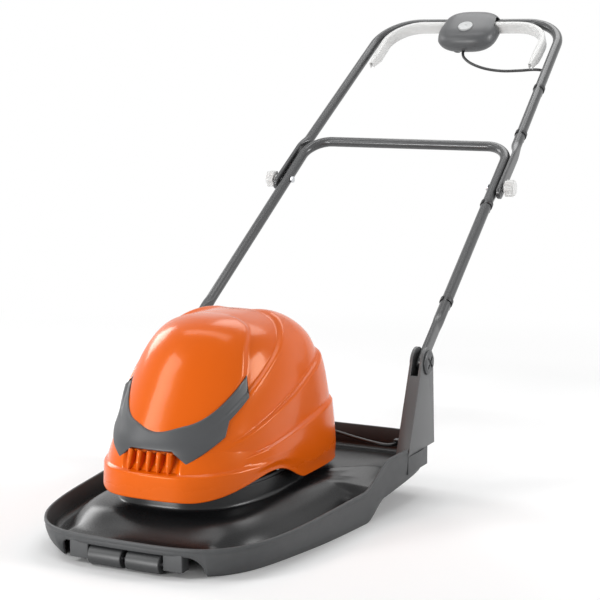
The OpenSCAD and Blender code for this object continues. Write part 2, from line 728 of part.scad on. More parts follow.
module blade_bolt() {
    color(steel) {
        translate([0, 0, blade_z - 3]) cylinder(d = 30, h = 3);
        translate([0, 0, blade_z - 10]) cylinder(d = 20, h = 7, $fn = 6);
        translate([0, 0, blade_z]) cylinder(d = 11.6, h = blade_t + spacer_t);
    }
}

// Belt round both pulleys, from two arcs and their common tangents
module belt_outline(r1, r2) {
    tilt = asin((r1 - r2) / motor_offset);
    wide = 180 + 2 * tilt;
    polygon(concat([for (k = [0:40]) let (a = -tilt + wide * k / 40) r1 * [cos(a), sin(a)]],
        [for (k = [0:20]) let (a = 180 + tilt + (360 - wide) * k / 20) [r2 * cos(a), motor_y + r2 * sin(a)]]));
}
module drive_belt() {
    r1 = spindle_pulley_d / 2 + move_gap;
    r2 = motor_pulley_d / 2 + move_gap;
    color(black) translate([0, 0, belt_z]) linear_extrude(belt_w) difference() {
        belt_outline(r1 + belt_t, r2 + belt_t);
        belt_outline(r1, r2);
    }
}

// Motor: two end bells, iron with field coils, and the turning armature
module motor_at(z) {
    translate([0, motor_y, z]) children();
}
module motor_lower_bell() {
    color(steel) motor_at(motor_z) difference() {
        union() {
            cylinder(d = 2 * pillar_r + pillar_d, h = motor_plate_t);
            ring(stator_d, stator_d - 8, bell_h);
            cylinder(d = motor_bearing_d + 8, h = motor_bearing_t + 4);
        }
        translate([0, 0, 2]) cylinder(d = motor_bearing_d, h = bell_h);
        translate([0, 0, -1]) cylinder(d = motor_shaft_d + 6, h = bell_h);
        for (a = pillar_angles) rotate(a) translate([pillar_r, 0, -1]) cylinder(d = screw_d, h = bell_h + 2);
        for (k = [0:3]) rotate(90 * k) translate([29, 0, -1]) cylinder(d = 14, h = motor_plate_t + 2);
    }
}
module motor_stator() {
    bore = armature_d + 2;
    color(iron) motor_at(stator_z) difference() {
        cylinder(d = stator_d, h = stator_h, $fn = 96);
        translate([0, 0, -1]) cylinder(d = bore, h = stator_h + 2);
        for (k = [-1, 1]) translate([k * (bore / 2 + 3), 0, -1]) rotate(90) coil_window(stator_h + 2);
    }
}
module coil_window(h) {
    translate([-17, -7, 0]) cube([34, 14, h]);
}
// Field coils: side runs in the iron's windows with end turns above and below
module field_coils() {
    side = armature_d / 2 + 4.2;
    color(copper) motor_at(stator_z) for (k = [-1, 1]) intersection() {
        translate([k * side, 0, -8]) rotate(90) translate([-16.8, -6.6, 0]) cube([33.6, 13.2, stator_h + 16]);
        difference() {
            translate([0, 0, -8]) cylinder(d = stator_d - 8.6, h = stator_h + 16);
            translate([0, 0, -9]) cylinder(d = armature_d + 2.6, h = stator_h + 18);
        }
    }
}
module motor_upper_bell() {
    color(steel) motor_at(upper_bell_z) difference() {
        union() {
            ring(stator_d, stator_d - 8, 14);
            translate([0, 0, 10]) cylinder(d1 = stator_d, d2 = stator_d - 24, h = upper_bell_h - 10);
        }
        translate([0, 0, -1]) cylinder(d = stator_d - 8, h = 13);
        translate([0, 0, 11]) cylinder(d1 = stator_d - 8, d2 = stator_d - 34, h = upper_bell_h - 15);
        translate([0, 0, upper_bell_h - motor_bearing_t]) cylinder(d = motor_bearing_d, h = upper_bell_h);
        translate([0, 0, 20]) cylinder(d = motor_shaft_d + 8, h = upper_bell_h);
        for (k = [0, 180]) rotate(k) translate([0, -6.8, brush_up - 6.8]) cube([stator_d, 13.6, 13.6]);
        for (k = [0, 180]) rotate(90 + k) translate([0, -14, 16]) cube([stator_d, 28, 10]);
    }
}
module motor_bearings() {
    color(steel) {
        motor_at(motor_z + 2) bearing(motor_bearing_d, motor_shaft_d + 2 * run_gap, motor_bearing_t);
        motor_at(upper_bell_z + upper_bell_h - motor_bearing_t)
            bearing(motor_bearing_d, motor_shaft_d + 2 * run_gap, motor_bearing_t);
    }
}
module brush_holders() {
    color(black) motor_at(brush_z) for (k = [0, 180]) rotate(k) difference() {
        translate([commutator_d / 2 + 3, -6.8, -6.8]) cube([stator_d / 2 - commutator_d / 2, 13.6, 13.6]);
        translate([commutator_d / 2, -4, -4]) cube([stator_d / 2 - commutator_d / 2, 8, 8]);
    }
}
module carbon_brushes() {
    color([0.15, 0.15, 0.16]) motor_at(brush_z) for (k = [0, 180]) rotate(k)
        translate([commutator_d / 2 + move_gap, -3.8, -3.8]) cube([17, 7.6, 7.6]);
}
module motor_bolts() {
    color(steel) pillar_ring(pillar_r) translate([0, 0, motor_z + motor_plate_t + screw_head_h]) rotate([180, 0, 0])
        screw(screw_d, motor_plate_t + 12, screw_head_d, screw_head_h);
}
module armature() {
    slots = 12;
    color(iron) motor_at(stator_z + 2) difference() {
        union() {
            cylinder(d = armature_d, h = stator_h - 4, $fn = 96);
            translate([0, 0, -7]) cylinder(d = armature_d - 10, h = stator_h + 12);
        }
        translate([0, 0, -8]) cylinder(d = motor_shaft_d, h = stator_h + 20);
        for (k = [0:slots - 1]) rotate(360 * k / slots) translate([armature_d / 2 - 3, -1.2, -1])
            cube([5, 2.4, stator_h]);
    }
}
module commutator() {
    color(copper) motor_at(brush_z - commutator_h / 2) ring(commutator_d, motor_shaft_d, commutator_h);
}
module motor_shaft() {
    color(steel) motor_at(shaft_low) cylinder(d = motor_shaft_d, h = shaft_high - shaft_low);
}
module motor_fan() {
    color(black) motor_at(fan_z) difference() {
        union() {
            cylinder(d = fan_d, h = 2.5);
            cylinder(d = motor_shaft_d + 10, h = fan_h);
            for (k = [0:8]) rotate(40 * k) translate([motor_shaft_d / 2 + 3, -1, 0])
                cube([fan_d / 2 - motor_shaft_d / 2 - 4, 2, fan_h]);
        }
        translate([0, 0, -1]) cylinder(d = motor_shaft_d, h = fan_h + 2);
    }
}
module motor_pulley() {
    color(steel) motor_at(pulley_z) pulley(motor_pulley_d, motor_shaft_d, pulley_h);
}

// Rollers in the hood's front edge
module roller_axle() {
    color(steel) translate([-axle_l / 2, roller_y, roller_z]) rotate([0, 90, 0])
        cylinder(d = axle_d - 2 * run_gap, h = axle_l);
}
module roller(side) {
    x = roller_space / 2;
    r = roller_d / 2;
    color(visor_grey) translate([side > 0 ? x : -x - roller_l, roller_y, roller_z]) rotate([90, 0, 90])
        rotate_extrude() polygon(concat([[axle_d / 2 + run_gap, 0], [r - 4, 0]],
            [for (k = [0:8]) [r - 2.5 * pow(2 * k / 8 - 1, 2), 1.5 + (roller_l - 3) * k / 8]],
            [[r - 4, roller_l], [axle_d / 2 + run_gap, roller_l]]));
}
module roller_left() { roller(-1); }
module roller_right() { roller(1); }

// Handle bracket: a tapering channel, closed in front below the notch and rounded round the pivot
module bracket_side() {
    polygon([[bracket_front_y, bracket_foot_z], [bracket_rear_y, bracket_foot_z],
        [pivot_y + bracket_head_r, pivot_z], [pivot_y - bracket_head_r, pivot_z]]);
    translate([pivot_y, pivot_z]) circle(r = bracket_head_r);
}
// The rear wall ends just under the resting leg and stops it
function stop_z(y) = pivot_z + (y - pivot_y) * tan(handle_angle) - flat_w / 2 / cos(handle_angle) - move_gap;
module bracket_hollow() {
    run = pivot_y - bracket_head_r - bracket_front_y;
    notch_y = bracket_front_y + run * (bracket_notch_z - bracket_foot_z) / (pivot_z - bracket_foot_z);
    floor = bracket_foot_z + bracket_foot_t;
    rear = pivot_y + bracket_head_r - bracket_web;
    far = pivot_y + bracket_head_r + 30;
    polygon([[bracket_front_y + bracket_web + 4, floor], [bracket_rear_y - bracket_web, floor], [rear, stop_z(rear)],
        [far, stop_z(far)], [far, pivot_z + 60], [pivot_y - 60, pivot_z + 60], [notch_y - 30, bracket_notch_z],
        [notch_y + bracket_web, bracket_notch_z]]);
}
module bracket() {
    difference() {
        translate([pivot_x - bracket_w / 2, 0, 0]) rotate([90, 0, 90]) linear_extrude(bracket_w) bracket_side();
        translate([pivot_x - bracket_slot / 2, 0, 0]) rotate([90, 0, 90]) linear_extrude(bracket_slot) bracket_hollow();
        translate([0, pivot_y, pivot_z]) rotate([0, 90, 0]) cylinder(d = pivot_bolt_d, h = pivot_x + bracket_w);
        for (y = bracket_screw_y) translate([pivot_x, y, bracket_foot_z - 1]) cylinder(d = bracket_screw_d, h = bracket_foot_t - 1);
    }
}
module bracket_left() { color(hood_grey) mirror([1, 0, 0]) bracket(); }
module bracket_right() { color(hood_grey) bracket(); }
module bracket_screws() {
    color(steel) both_sides() for (y = bracket_screw_y)
        translate([pivot_x, y, bracket_screw_seat - screw_head_h])
            screw(bracket_screw_d, bracket_foot_z + bracket_foot_t - 2 - bracket_screw_seat, bracket_head_d, screw_head_h);
}
// Large-headed pivot bolts with a cross recess, and their nuts on the inner faces
module pivot_bolts() {
    face = pivot_x + bracket_w / 2;
    color(visor_grey) both_sides() translate([0, pivot_y, pivot_z]) rotate([0, 90, 0]) {
        translate([0, 0, pivot_x - bracket_w / 2 - 9]) cylinder(d = pivot_bolt_d, h = bracket_w + 10);
        translate([0, 0, face]) difference() {
            union() {
                cylinder(d = pivot_cap_d, h = pivot_cap_t - 2);
                translate([0, 0, pivot_cap_t - 2]) cylinder(d1 = pivot_cap_d, d2 = pivot_cap_d - 8, h = 2);
            }
            for (k = [45, 135]) rotate(k) translate([-13, -2.5, pivot_cap_t - 2.5]) cube([26, 5, 3]);
        }
    }
}
module pivot_nuts() {
    color(steel) both_sides() translate([pivot_x - bracket_w / 2 - 7, pivot_y, pivot_z]) rotate([0, 90, 0])
        difference() {
            cylinder(d = 15, h = 7, $fn = 6);
            translate([0, 0, -1]) cylinder(d = pivot_bolt_d, h = 9);
        }
}

// Lower handle, in its own frame: flattened ends on the pivots, two legs, corner bends and a cross bar
module flat_bar(x, t, from, to) {
    translate([x - t / 2, 0, 0]) rotate([90, 0, 90]) linear_extrude(t) {
        translate([from, 0]) circle(d = flat_w);
        translate([from, -flat_w / 2]) square([to - from, flat_w]);
    }
}
// Swaged end: its slab ends inside the flat bar and its round plug inside the tube's wall
swage_d = tube_d - 0.3;
swage_in = 3;
module swage_plug() {
    rotate([-90, 0, 0]) cylinder(d = swage_d, h = swage_in, $fn = 24);
}
module swage_slab(x, t, s) {
    inset = 0.4;
    translate([x - t / 2 + inset, s - 2, -flat_w / 2 + inset]) cube([t - 2 * inset, 2, flat_w - 2 * inset]);
}
corner_cut = cross_bend * tan((90 - leg_lean) / 2);
leg_len = norm([pivot_x - cross_x, cross_s]) - corner_cut;
module tube_section() {
    difference() {
        circle(d = tube_d);
        circle(d = tube_d - 2 * tube_wall);
    }
}
// Plug inside the tube where a straight run meets a bend, across a hairline joint
module joint_plug() {
    translate([0, -2, 0]) rotate([-90, 0, 0]) cylinder(d = tube_d - tube_wall, h = 4);
}
module straight_tube(l) {
    rotate([-90, 0, 0]) linear_extrude(l) tube_section();
}
// A U of tube: two legs of length l, bends of radius r at x and s, and a bar between them
module tube_u(l, r, lean, x, s) {
    both_sides() {
        translate([x, s - r, 0]) rotate([0, 0, lean]) {
            rotate_extrude(angle = 90 - lean) translate([r, 0]) tube_section();
            translate([r, -l, 0]) straight_tube(l - joint_gap);
            translate([r, 0, 0]) joint_plug();
        }
        translate([x, s, 0]) rotate([0, 0, 90]) joint_plug();
    }
    translate([x - joint_gap, s, 0]) rotate([0, 0, 90]) straight_tube(2 * (x - joint_gap));
}
module lower_run() {
    tube_u(leg_len - lower_round, cross_bend, leg_lean, cross_x - corner_cut, cross_s);
}
module lower_handle() {
    color(tube_grey) handle_frame() difference() {
        union() {
            lower_run();
            both_sides() leg_frame() {
                flat_bar(0, lower_flat_t, 0, lower_flat_end);
                hull() {
                    swage_slab(0, lower_flat_t, lower_flat_end);
                    translate([0, lower_round, 0]) swage_plug();
                }
            }
        }
        both_sides() translate([pivot_x - 40, 0, 0]) rotate([0, 90, 0]) cylinder(d = pivot_bolt_d + 2 * run_gap, h = 80);
        both_sides() translate([pivot_x - 60, fold_s, 0]) rotate([0, 90, 0]) cylinder(d = fold_bolt_d, h = 80);
    }
}
fold_x = pivot_x - fold_s * tan(leg_lean);
module fold_bolts() {
    color(steel) handle_frame() both_sides() translate([0, fold_s, 0]) rotate([0, 90, 0]) {
        translate([0, 0, fold_x - tube_d / 2 - 1]) cylinder(d = fold_bolt_d, h = knob_x + 14 - fold_x + tube_d / 2 + 1);
        translate([0, 0, fold_x - tube_d / 2 - 4]) cylinder(d = 13, h = 4);
    }
}
// Cable clip: a split collar round the tube with a cradle for the lead below it
module cable_clip(d) {
    rotate([-90, 0, 0]) difference() {
        union() {
            cylinder(d = d + 2 * clip_wall, h = clip_w);
            translate([0, d / 2 + lead_d / 2, 0]) cylinder(d = lead_d + 2 * clip_wall, h = clip_w);
        }
        translate([0, 0, -1]) cylinder(d = d, h = clip_w + 2);
        translate([0, d / 2 + lead_d / 2 + seat_gap, -1]) cylinder(d = lead_d, h = clip_w + 2);
        translate([-4, -d, -1]) cube([8, d, clip_w + 2]);
    }
}
module lower_clips() {
    color(black) handle_frame() leg_frame() for (s = lower_clips) translate([0, s, 0]) cable_clip(tube_d);
}

// Upper handle, in its own frame
upper_lean = atan((upper_start_x - top_x) / (top_s - upper_round));
top_cut = top_bend * tan((90 - upper_lean) / 2);
upper_len = norm([upper_start_x - top_x, top_s - upper_round]) - top_cut;
module upper_leg_frame() {
    translate([upper_start_x, upper_round, 0]) rotate([0, 0, upper_lean]) children();
}
module upper_run() {
    tube_u(upper_len, top_bend, upper_lean, top_x - top_cut, top_s);
}
module upper_handle() {
    color(tube_grey) upper_frame() difference() {
        union() {
            upper_run();
            both_sides() leg_frame() flat_bar(strap_off, upper_flat_t, fold_s - 13, upper_flat_end);
            both_sides() hull() {
                leg_frame() swage_slab(strap_off, upper_flat_t, upper_flat_end);
                upper_leg_frame() swage_plug();
            }
        }
        both_sides() translate([fold_x, fold_s, 0]) rotate([0, 90, 0])
            cylinder(d = fold_bolt_d + 2 * run_gap, h = 60);
    }
}
module upper_clips() {
    color(black) upper_frame() upper_leg_frame() for (s = upper_clips)
        translate([0, s - upper_round, 0]) cable_clip(tube_d);
}
knob_x = fold_x + tube_d / 2 + fold_gap + upper_flat_t + 1;
module knob() {
    difference() {
        union() {
            cylinder(d = 17, h = knob_h);
            translate([0, 0, 5]) cylinder(d = knob_d - 8, h = knob_h - 5);
            translate([0, 0, 5]) for (k = [0:knob_lobes - 1]) rotate(360 * k / knob_lobes)
                translate([knob_d / 2 - 5.5, 0, 0]) cylinder(d = 11, h = knob_h - 7);
        }
        translate([0, 0, -1]) cylinder(d = fold_bolt_d + 2 * run_gap, h = knob_h - 4);
    }
}
module knob_right() {
    color(white) handle_frame() translate([knob_x, fold_s, 0]) rotate([0, 90, 0]) knob();
}
module knob_left() {
    color(white) handle_frame() mirror([1, 0, 0]) translate([knob_x, fold_s, 0]) rotate([0, 90, 0]) knob();
}

// Switch box: two hollow halves of a rounded pebble clamped round the top bar
function box_ring(n, shrink, up) = let (h = up ? box_up : box_down, u = min(n / h, 1),
    e = box_edge[up ? 1 : 0],
    k = pow(1 - pow(u, e), 1 / e) * (1 - 0.1 * u))
    [for (i = [0:box_sides - 1]) let (a = 360 * i / box_sides)
        [(box_w / 2 - shrink) * k * spow(cos(a), 2 / box_corner),
        box_s + (box_l / 2 - shrink) * k * spow(sin(a), 2 / box_corner), (up ? 1 : -1) * n]];
function box_half(up) = let (h = up ? box_up : box_down, w = box_wall)
    concat([for (u = [0.97, 0.85, 0.6, 0.3, 0]) box_ring((h - w) * u, w, up)],
        [for (u = [0, 0.3, 0.55, 0.75, 0.9, 0.985]) box_ring(h * u, 0, up)]);
module box_shell(up) {
    rings = box_half(up);
    if (up) skin([for (i = [len(rings) - 1:-1:0]) rings[i]]);
    else skin(rings);
}
module box_cuts() {
    // Top bar, lever slots in both ends, and screw bores
    translate([-box_w, top_s, 0]) rotate([0, 90, 0]) cylinder(d = tube_d, h = 2 * box_w);
    low = lever_s - lever_t / 2 - 8;
    for (x = [-1, 1]) translate([x * box_w / 2 - 14, low, lever_n - lever_depth / 2 - 4])
        cube([28, top_s - low, lever_depth + 7]);
}
// Screw places with the share of each half's depth that its boss needs to reach the wall, lower half first
front_boss = [0.827, 0.896];
rear_boss = [0.54, 0.667];
box_screw_places = [[26, top_s - 64, front_boss], [-26, top_s - 64, front_boss], [16, top_s + 14.2, rear_boss],
    [-16, top_s + 14.2, rear_boss]];
box_screw_d = 3;
box_head_d = 5.5;
boss_d = 7;
screw_seat_n = -8;
module box_boss(up) {
    for (p = box_screw_places) mirror([0, 0, up ? 0 : 1]) translate([p[0], p[1], 0])
        cylinder(d = boss_d, h = up ? p[2][1] * box_up : p[2][0] * box_down);
}
module switch_box_top() {
    color(visor_grey) upper_frame() difference() {
        union() {
            box_shell(true);
            box_boss(true);
        }
        box_cuts();
        translate([0, button_s, 8]) cylinder(d = button_d + 2 * run_gap + 0.3, h = 40);
        for (p = box_screw_places) translate([p[0], p[1], -1]) cylinder(d = box_screw_d, h = 11);
    }
}
module inlet_frame() {
    translate([inlet_x, inlet_s, inlet_n]) rotate([inlet_tilt - 90, 0, 0]) children();
}
module switch_box_bottom() {
    color(visor_grey) upper_frame() difference() {
        union() {
            box_shell(false);
            box_boss(false);
            inlet_frame() cylinder(d = inlet_d + 6, h = inlet_l);
            both_sides() translate([24, lever_s - 6, -box_down + 2]) cube([6, 12, box_down - 2 + lever_pivot_n + 4]);
            translate([-seat_w / 2, button_s - seat_w / 2, -box_down + 2])
                cube([seat_w, seat_w, box_down - 2 + spring_seat_n]);
        }
        box_cuts();
        translate([-40, lever_s, lever_pivot_n]) rotate([0, 90, 0]) cylinder(d = lever_pin_d + 2 * run_gap, h = 80);
        for (p = box_screw_places) translate([p[0], p[1], -box_down - 1]) {
            cylinder(d = box_screw_d, h = box_down + 2);
            cylinder(d = box_head_d, h = box_down + 1 + screw_seat_n);
        }
        inlet_frame() translate([0, 0, -1]) cylinder(d = inlet_d, h = inlet_l + 2);
        translate([loop_route[0][0], box_s - box_l / 2 - 2, loop_route[0][2]]) rotate([-90, 0, 0])
            cylinder(d = lead_d, h = 20);
    }
}
module box_screws() {
    color(steel) upper_frame() for (p = box_screw_places)
        translate([p[0], p[1], screw_seat_n - 2]) screw(box_screw_d, 8 - screw_seat_n, box_head_d, 2);
}
module switch_unit() {
    color(black) upper_frame() translate([seat_w / 2 + seat_gap, top_s - 57, -19]) cube([22, 22, 16]);
}
// Bail lever: a channel along the inside of the top bar, bent down beside both legs
module lever_profile() {
    difference() {
        translate([-lever_t / 2, -lever_depth / 2]) square([lever_t, lever_depth]);
        translate([-lever_t / 2 + lever_wall, -lever_depth / 2 - 1]) square([lever_t - 2 * lever_wall, lever_depth + 1 - lever_wall]);
    }
}
module lever_half() {
    straight = lever_x - lever_bend;
    translate([0, lever_s, lever_n]) rotate([90, 0, 90]) linear_extrude(straight) lever_profile();
    translate([straight, lever_s - lever_bend, lever_n]) rotate_extrude(angle = 90)
        translate([lever_bend, 0]) lever_profile();
    translate([lever_x, lever_s - lever_bend, lever_n]) rotate([90, 0, 0])
        linear_extrude(lever_s - lever_bend - lever_end) lever_profile();
}
module switch_lever() {
    color(white) upper_frame() {
        both_sides() lever_half();
        translate([-34, lever_s, lever_pivot_n]) rotate([0, 90, 0]) cylinder(d = lever_pin_d, h = 68);
        both_sides() translate([16, lever_s - 2.5, lever_pivot_n])
            cube([6, 5, lever_n + lever_depth / 2 - lever_wall / 2 - lever_pivot_n]);
    }
}
// Compression spring, one unbroken wire
module spring(d, h) {
    steps = spring_turns * 8;
    path = [for (i = [0:steps]) let (a = 360 * i / 8)
        [(d - spring_wire) / 2 * cos(a), (d - spring_wire) / 2 * sin(a), spring_wire / 2 + (h - spring_wire) * i / steps]];
    sweep_tube(path, spring_wire, 6);
}
module lever_spring() {
    color(steel) upper_frame() translate([-13, lever_s, lever_pivot_n]) rotate([0, 90, 0])
        spring(lever_pin_d + 2 * spring_wire + 1, 12);
}
module lock_button() {
    color(pale_grey) upper_frame() translate([0, button_s, 0]) {
        translate([0, 0, box_up - 6]) cylinder(d = button_d, h = button_h);
        translate([0, 0, box_up - 6 + button_h]) cylinder(d1 = button_d, d2 = button_d - 4, h = 1.6);
        translate([0, 0, spring_seat_n + button_travel + 1])
            cylinder(d = button_stem_d, h = box_up - 5 - spring_seat_n - button_travel - 1);
    }
}
module button_spring() {
    low = spring_seat_n + seat_gap;
    color(steel) upper_frame() translate([0, button_s, low]) spring(button_stem_d + 4, box_up - 6 - low - seat_gap);
}

clip_at = deck_route[3];

// Motor lead, held all the way from the switch box to the cover
function leg_x(s) = upper_start_x - (s - upper_round) * tan(upper_lean);
module lead_upper() {
    down = [for (s = [820:-40:620]) [leg_x(s), s, -tube_d / 2 - lead_d / 2 - seat_gap]];
    color(black) upper_frame() sweep_tube(concat(loop_route, down, [[leg_x(596) - 3, 585, -15.5], fold_stretch[0]]),
        lead_d, lead_sides);
}
// A route with both ends drawn back a little from the next stretch
trim = 1.2;
function drawn_in(p, q) = p + (q - p) * trim / norm(q - p);
function trimmed(p) = let (n = len(p) - 1)
    concat([drawn_in(p[0], p[1])], [for (i = [1:n - 1]) p[i]], [drawn_in(p[n], p[n - 1])]);
module lead_fold() {
    color(black) handle_frame() sweep_tube(trimmed(fold_stretch), lead_d, lead_sides);
}
// A point on the underside of a lower leg, and its place in the part's frame
function under_leg(s) = [pivot_x - s * tan(leg_lean), s, -tube_d / 2 - lead_d / 2 - seat_gap];
function from_handle(p) = [p[0], pivot_y + p[1] * cos(handle_angle) - p[2] * sin(handle_angle),
    pivot_z + p[1] * sin(handle_angle) + p[2] * cos(handle_angle)];
lead_low_s = 112;
module lead_lower() {
    down = [for (s = [412:-60:lead_low_s]) under_leg(s)];
    color(black) handle_frame() sweep_tube(concat([fold_stretch[len(fold_stretch) - 1]], down), lead_d, lead_sides);
}
module lead_pivot() {
    color(black) sweep_tube(trimmed(concat([from_handle(under_leg(lead_low_s))], pivot_stretch)), lead_d,
        lead_sides);
}
module lead_deck() {
    color(black) sweep_tube(deck_route, lead_d, lead_sides);
}
module lead_grommet() {
    color(black) translate([lead_exit[0], cover_rear - 12, lead_exit[2]]) rotate([-90, 0, 0])
        ring(grommet_d, lead_d + 0.2, 14);
}
module deck_clip() {
    inner = pivot_x - bracket_w / 2;
    color(black) difference() {
        translate([clip_at[0] - 6, clip_at[1] - 6, clip_at[2] - 6]) cube([inner - clip_at[0] + 6, 12, 12]);
        translate([clip_at[0], clip_at[1] - 10, clip_at[2]]) rotate([-90, 0, 0]) cylinder(d = lead_d + 2, h = 20);
    }
}

hood();
motor_cover();
front_visor();
cover_screws();
deck_plate();
deck_screws();
spindle_bearings();
spindle();
spindle_pulley();
spindle_nut();
impeller();
blade_spacers();
blade();
blade_bolt();
drive_belt();
motor_lower_bell();
motor_stator();
field_coils();
motor_upper_bell();
motor_bearings();
brush_holders();
carbon_brushes();
motor_bolts();
armature();
commutator();
motor_shaft();
motor_fan();
motor_pulley();
roller_axle();
roller_left();
roller_right();
bracket_left();
bracket_right();
bracket_screws();
pivot_bolts();
pivot_nuts();
lower_handle();
lower_clips();
fold_bolts();
knob_left();
knob_right();
upper_handle();
upper_clips();
switch_box_top();
switch_box_bottom();
box_screws();
switch_unit();
switch_lever();
lever_spring();
lock_button();
button_spring();
lead_upper();
lead_fold();
lead_lower();
lead_pivot();
lead_deck();
lead_grommet();
deck_clip();
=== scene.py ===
# %% [markdown]
# # A hover mower, dressed
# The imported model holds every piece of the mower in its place, in metres. This lesson loads it as a fixed frame
# and gives it its looks: smooth moulded shells worked out with numpy where the solids are faceted, rounded edges
# on the pieces that are already right, and a finish for each material.

# %% Load the frame
import math

import bmesh
import bpy
import numpy as np
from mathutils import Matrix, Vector


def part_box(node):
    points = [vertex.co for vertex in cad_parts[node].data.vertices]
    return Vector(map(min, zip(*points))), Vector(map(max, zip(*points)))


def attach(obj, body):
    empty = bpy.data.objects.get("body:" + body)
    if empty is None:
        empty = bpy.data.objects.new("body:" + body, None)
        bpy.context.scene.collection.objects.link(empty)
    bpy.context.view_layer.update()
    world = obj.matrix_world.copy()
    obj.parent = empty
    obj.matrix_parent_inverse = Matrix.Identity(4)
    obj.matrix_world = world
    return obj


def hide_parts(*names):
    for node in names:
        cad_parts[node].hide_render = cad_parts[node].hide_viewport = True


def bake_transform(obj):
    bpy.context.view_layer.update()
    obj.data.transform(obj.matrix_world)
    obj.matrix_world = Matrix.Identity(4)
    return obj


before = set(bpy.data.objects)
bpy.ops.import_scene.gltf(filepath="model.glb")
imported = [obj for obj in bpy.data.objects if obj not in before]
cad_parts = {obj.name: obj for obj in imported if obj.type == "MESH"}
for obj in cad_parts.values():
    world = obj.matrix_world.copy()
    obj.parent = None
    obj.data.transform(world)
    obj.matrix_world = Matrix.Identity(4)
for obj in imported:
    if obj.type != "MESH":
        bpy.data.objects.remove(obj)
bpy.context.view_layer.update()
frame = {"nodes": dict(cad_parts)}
nodes = frame["nodes"]
MM = 0.001

# %% [markdown]
# ## Camera
# The mower was photographed with a long lens from the front right, a little above the hood. The view was found by
# matching known points of the model with the picture, and it is written here as a place and two angles.

# %% Camera
VIEW_AZIMUTH, VIEW_PITCH = math.radians(26.0), math.radians(8.96)
VIEW_PLACE, LENS_MM, SENSOR_MM, FAR_CLIP = (1.27609, -2.31812, 0.78225), 99.39, 36, 60
lens = bpy.data.cameras.new("camera")
lens.sensor_width, lens.lens, lens.clip_end = SENSOR_MM, LENS_MM, FAR_CLIP
camera = bpy.data.objects.new("camera", lens)
camera.location = VIEW_PLACE
camera.rotation_euler = (math.pi / 2 - VIEW_PITCH, 0, VIEW_AZIMUTH)
bpy.context.scene.collection.objects.link(camera)
bpy.context.scene.camera = camera
print("camera at", tuple(round(v, 3) for v in camera.location))

# %% [markdown]
# ## Writing shader maths as Python
# A finish, or the light of the world, is a small tree of nodes. One class wraps an output socket, so that `1 - mask`
# or `grain * 0.2` adds the Math nodes by itself. Another holds a tree and adds any other node from its type,
# settings and inputs.

# %% Node builder


class Wire:
    """An output socket: sums, differences and products of wires and numbers add Math nodes."""

    def __init__(self, nodes, socket):
        self.nodes, self.socket = nodes, socket

    def math(self, operation, a, b):
        return self.nodes.add("Math", {"operation": operation}, {0: a, 1: b})

    def __add__(self, other):
        return self.math("ADD", self, other)

    def __sub__(self, other):
        return self.math("SUBTRACT", self, other)

    def __rsub__(self, other):
        return self.math("SUBTRACT", other, self)

    def __mul__(self, other):
        return self.math("MULTIPLY", self, other)

    __radd__ = __add__
    __rmul__ = __mul__


class NodeTree:
    """An emptied node tree, with one method that adds any node."""

    def __init__(self, tree):
        self.tree = tree
        tree.nodes.clear()

    def put(self, node, inputs):
        for key, value in inputs.items():
            if isinstance(value, Wire):
                self.tree.links.new(value.socket, node.inputs[key])
            else:
                node.inputs[key].default_value = value

    def add(self, kind, settings=None, inputs=None, output=0):
        """Adds one node: its settings are set first, then the values or links of its sockets."""
        node = self.tree.nodes.new("ShaderNode" + kind)
        for key, value in (settings or {}).items():
            setattr(node, key, value)
        self.put(node, inputs or {})
        return Wire(self, node.outputs[output]) if node.outputs else None

    def seen(self):
        """1 for rays of the camera, of gloss and of glass, and 0 for those that light the mower."""
        camera_ray, gloss, glass = (
            self.add("LightPath", output=f"Is {kind} Ray") for kind in ("Camera", "Glossy", "Transmission"))
        total = camera_ray + gloss + glass
        return total.math("MINIMUM", total, 1.0)


print("node builder ready")

# %% [markdown]
# A finish is such a tree with a material round it. Every varying value starts from Object coordinates or from a value
# that the mesh carries, and a few short methods name the nodes that come up again and again.

# %% Finish


class Finish(NodeTree):
    """A material with one Principled shader; constants are set on the shader's own sockets."""

    def __init__(self, name, **constants):
        self.material = bpy.data.materials.new(name)
        self.material.use_nodes = True
        super().__init__(self.material.node_tree)
        self.shader = self.tree.nodes.new("ShaderNodeBsdfPrincipled")
        self.surface = Wire(self, self.shader.outputs[0])
        self.add("OutputMaterial", None, {0: self.surface})
        self.place = self.add("TexCoord", output="Object")
        self.feed({key.replace("_", " "): value for key, value in constants.items()})

    def feed(self, inputs):
        self.put(self.shader, inputs)

    def noise(self, scale, detail=2.0, place=None):
        return self.add("TexNoise", None, {"Vector": place or self.place, "Scale": scale, "Detail": detail})

    def between(self, wire, low, high):
        """0 below low, 1 above high, eased between."""
        return self.add("MapRange", {"interpolation_type": "SMOOTHSTEP"}, {0: wire, 1: low, 2: high, 3: 0.0, 4: 1.0})

    def mix(self, factor, a, b):
        return self.add("Mix", {"data_type": "RGBA"}, {0: factor, 6: a, 7: b}, output=2)

    def bump(self, height, distance):
        return self.add("Bump", None, {"Strength": 1.0, "Distance": distance, "Height": height})

    def height(self):
        """The Z of Object coordinates, which is the height above the ground."""
        return self.add("SeparateXYZ", None, {0: self.place}, output="Z")

    def attribute(self, name):
        return self.add("Attribute", {"attribute_name": name}, output="Fac")


def shade(colour, k):
    """An opaque colour made k times as bright."""
    return tuple(min(1.0, c * k) for c in colour) + (1.0,)


print("finish builder ready")

# %% [markdown]
# ## Studio
# A product picture of glossy plastic lives from its reflections. Six soft boxes give the long highlights and the
# soft shadow, and the world fills in. What the camera and the gloss see of the world is plain white, which the Light
# Path node chooses, so the white background needs no extra light on the mower.

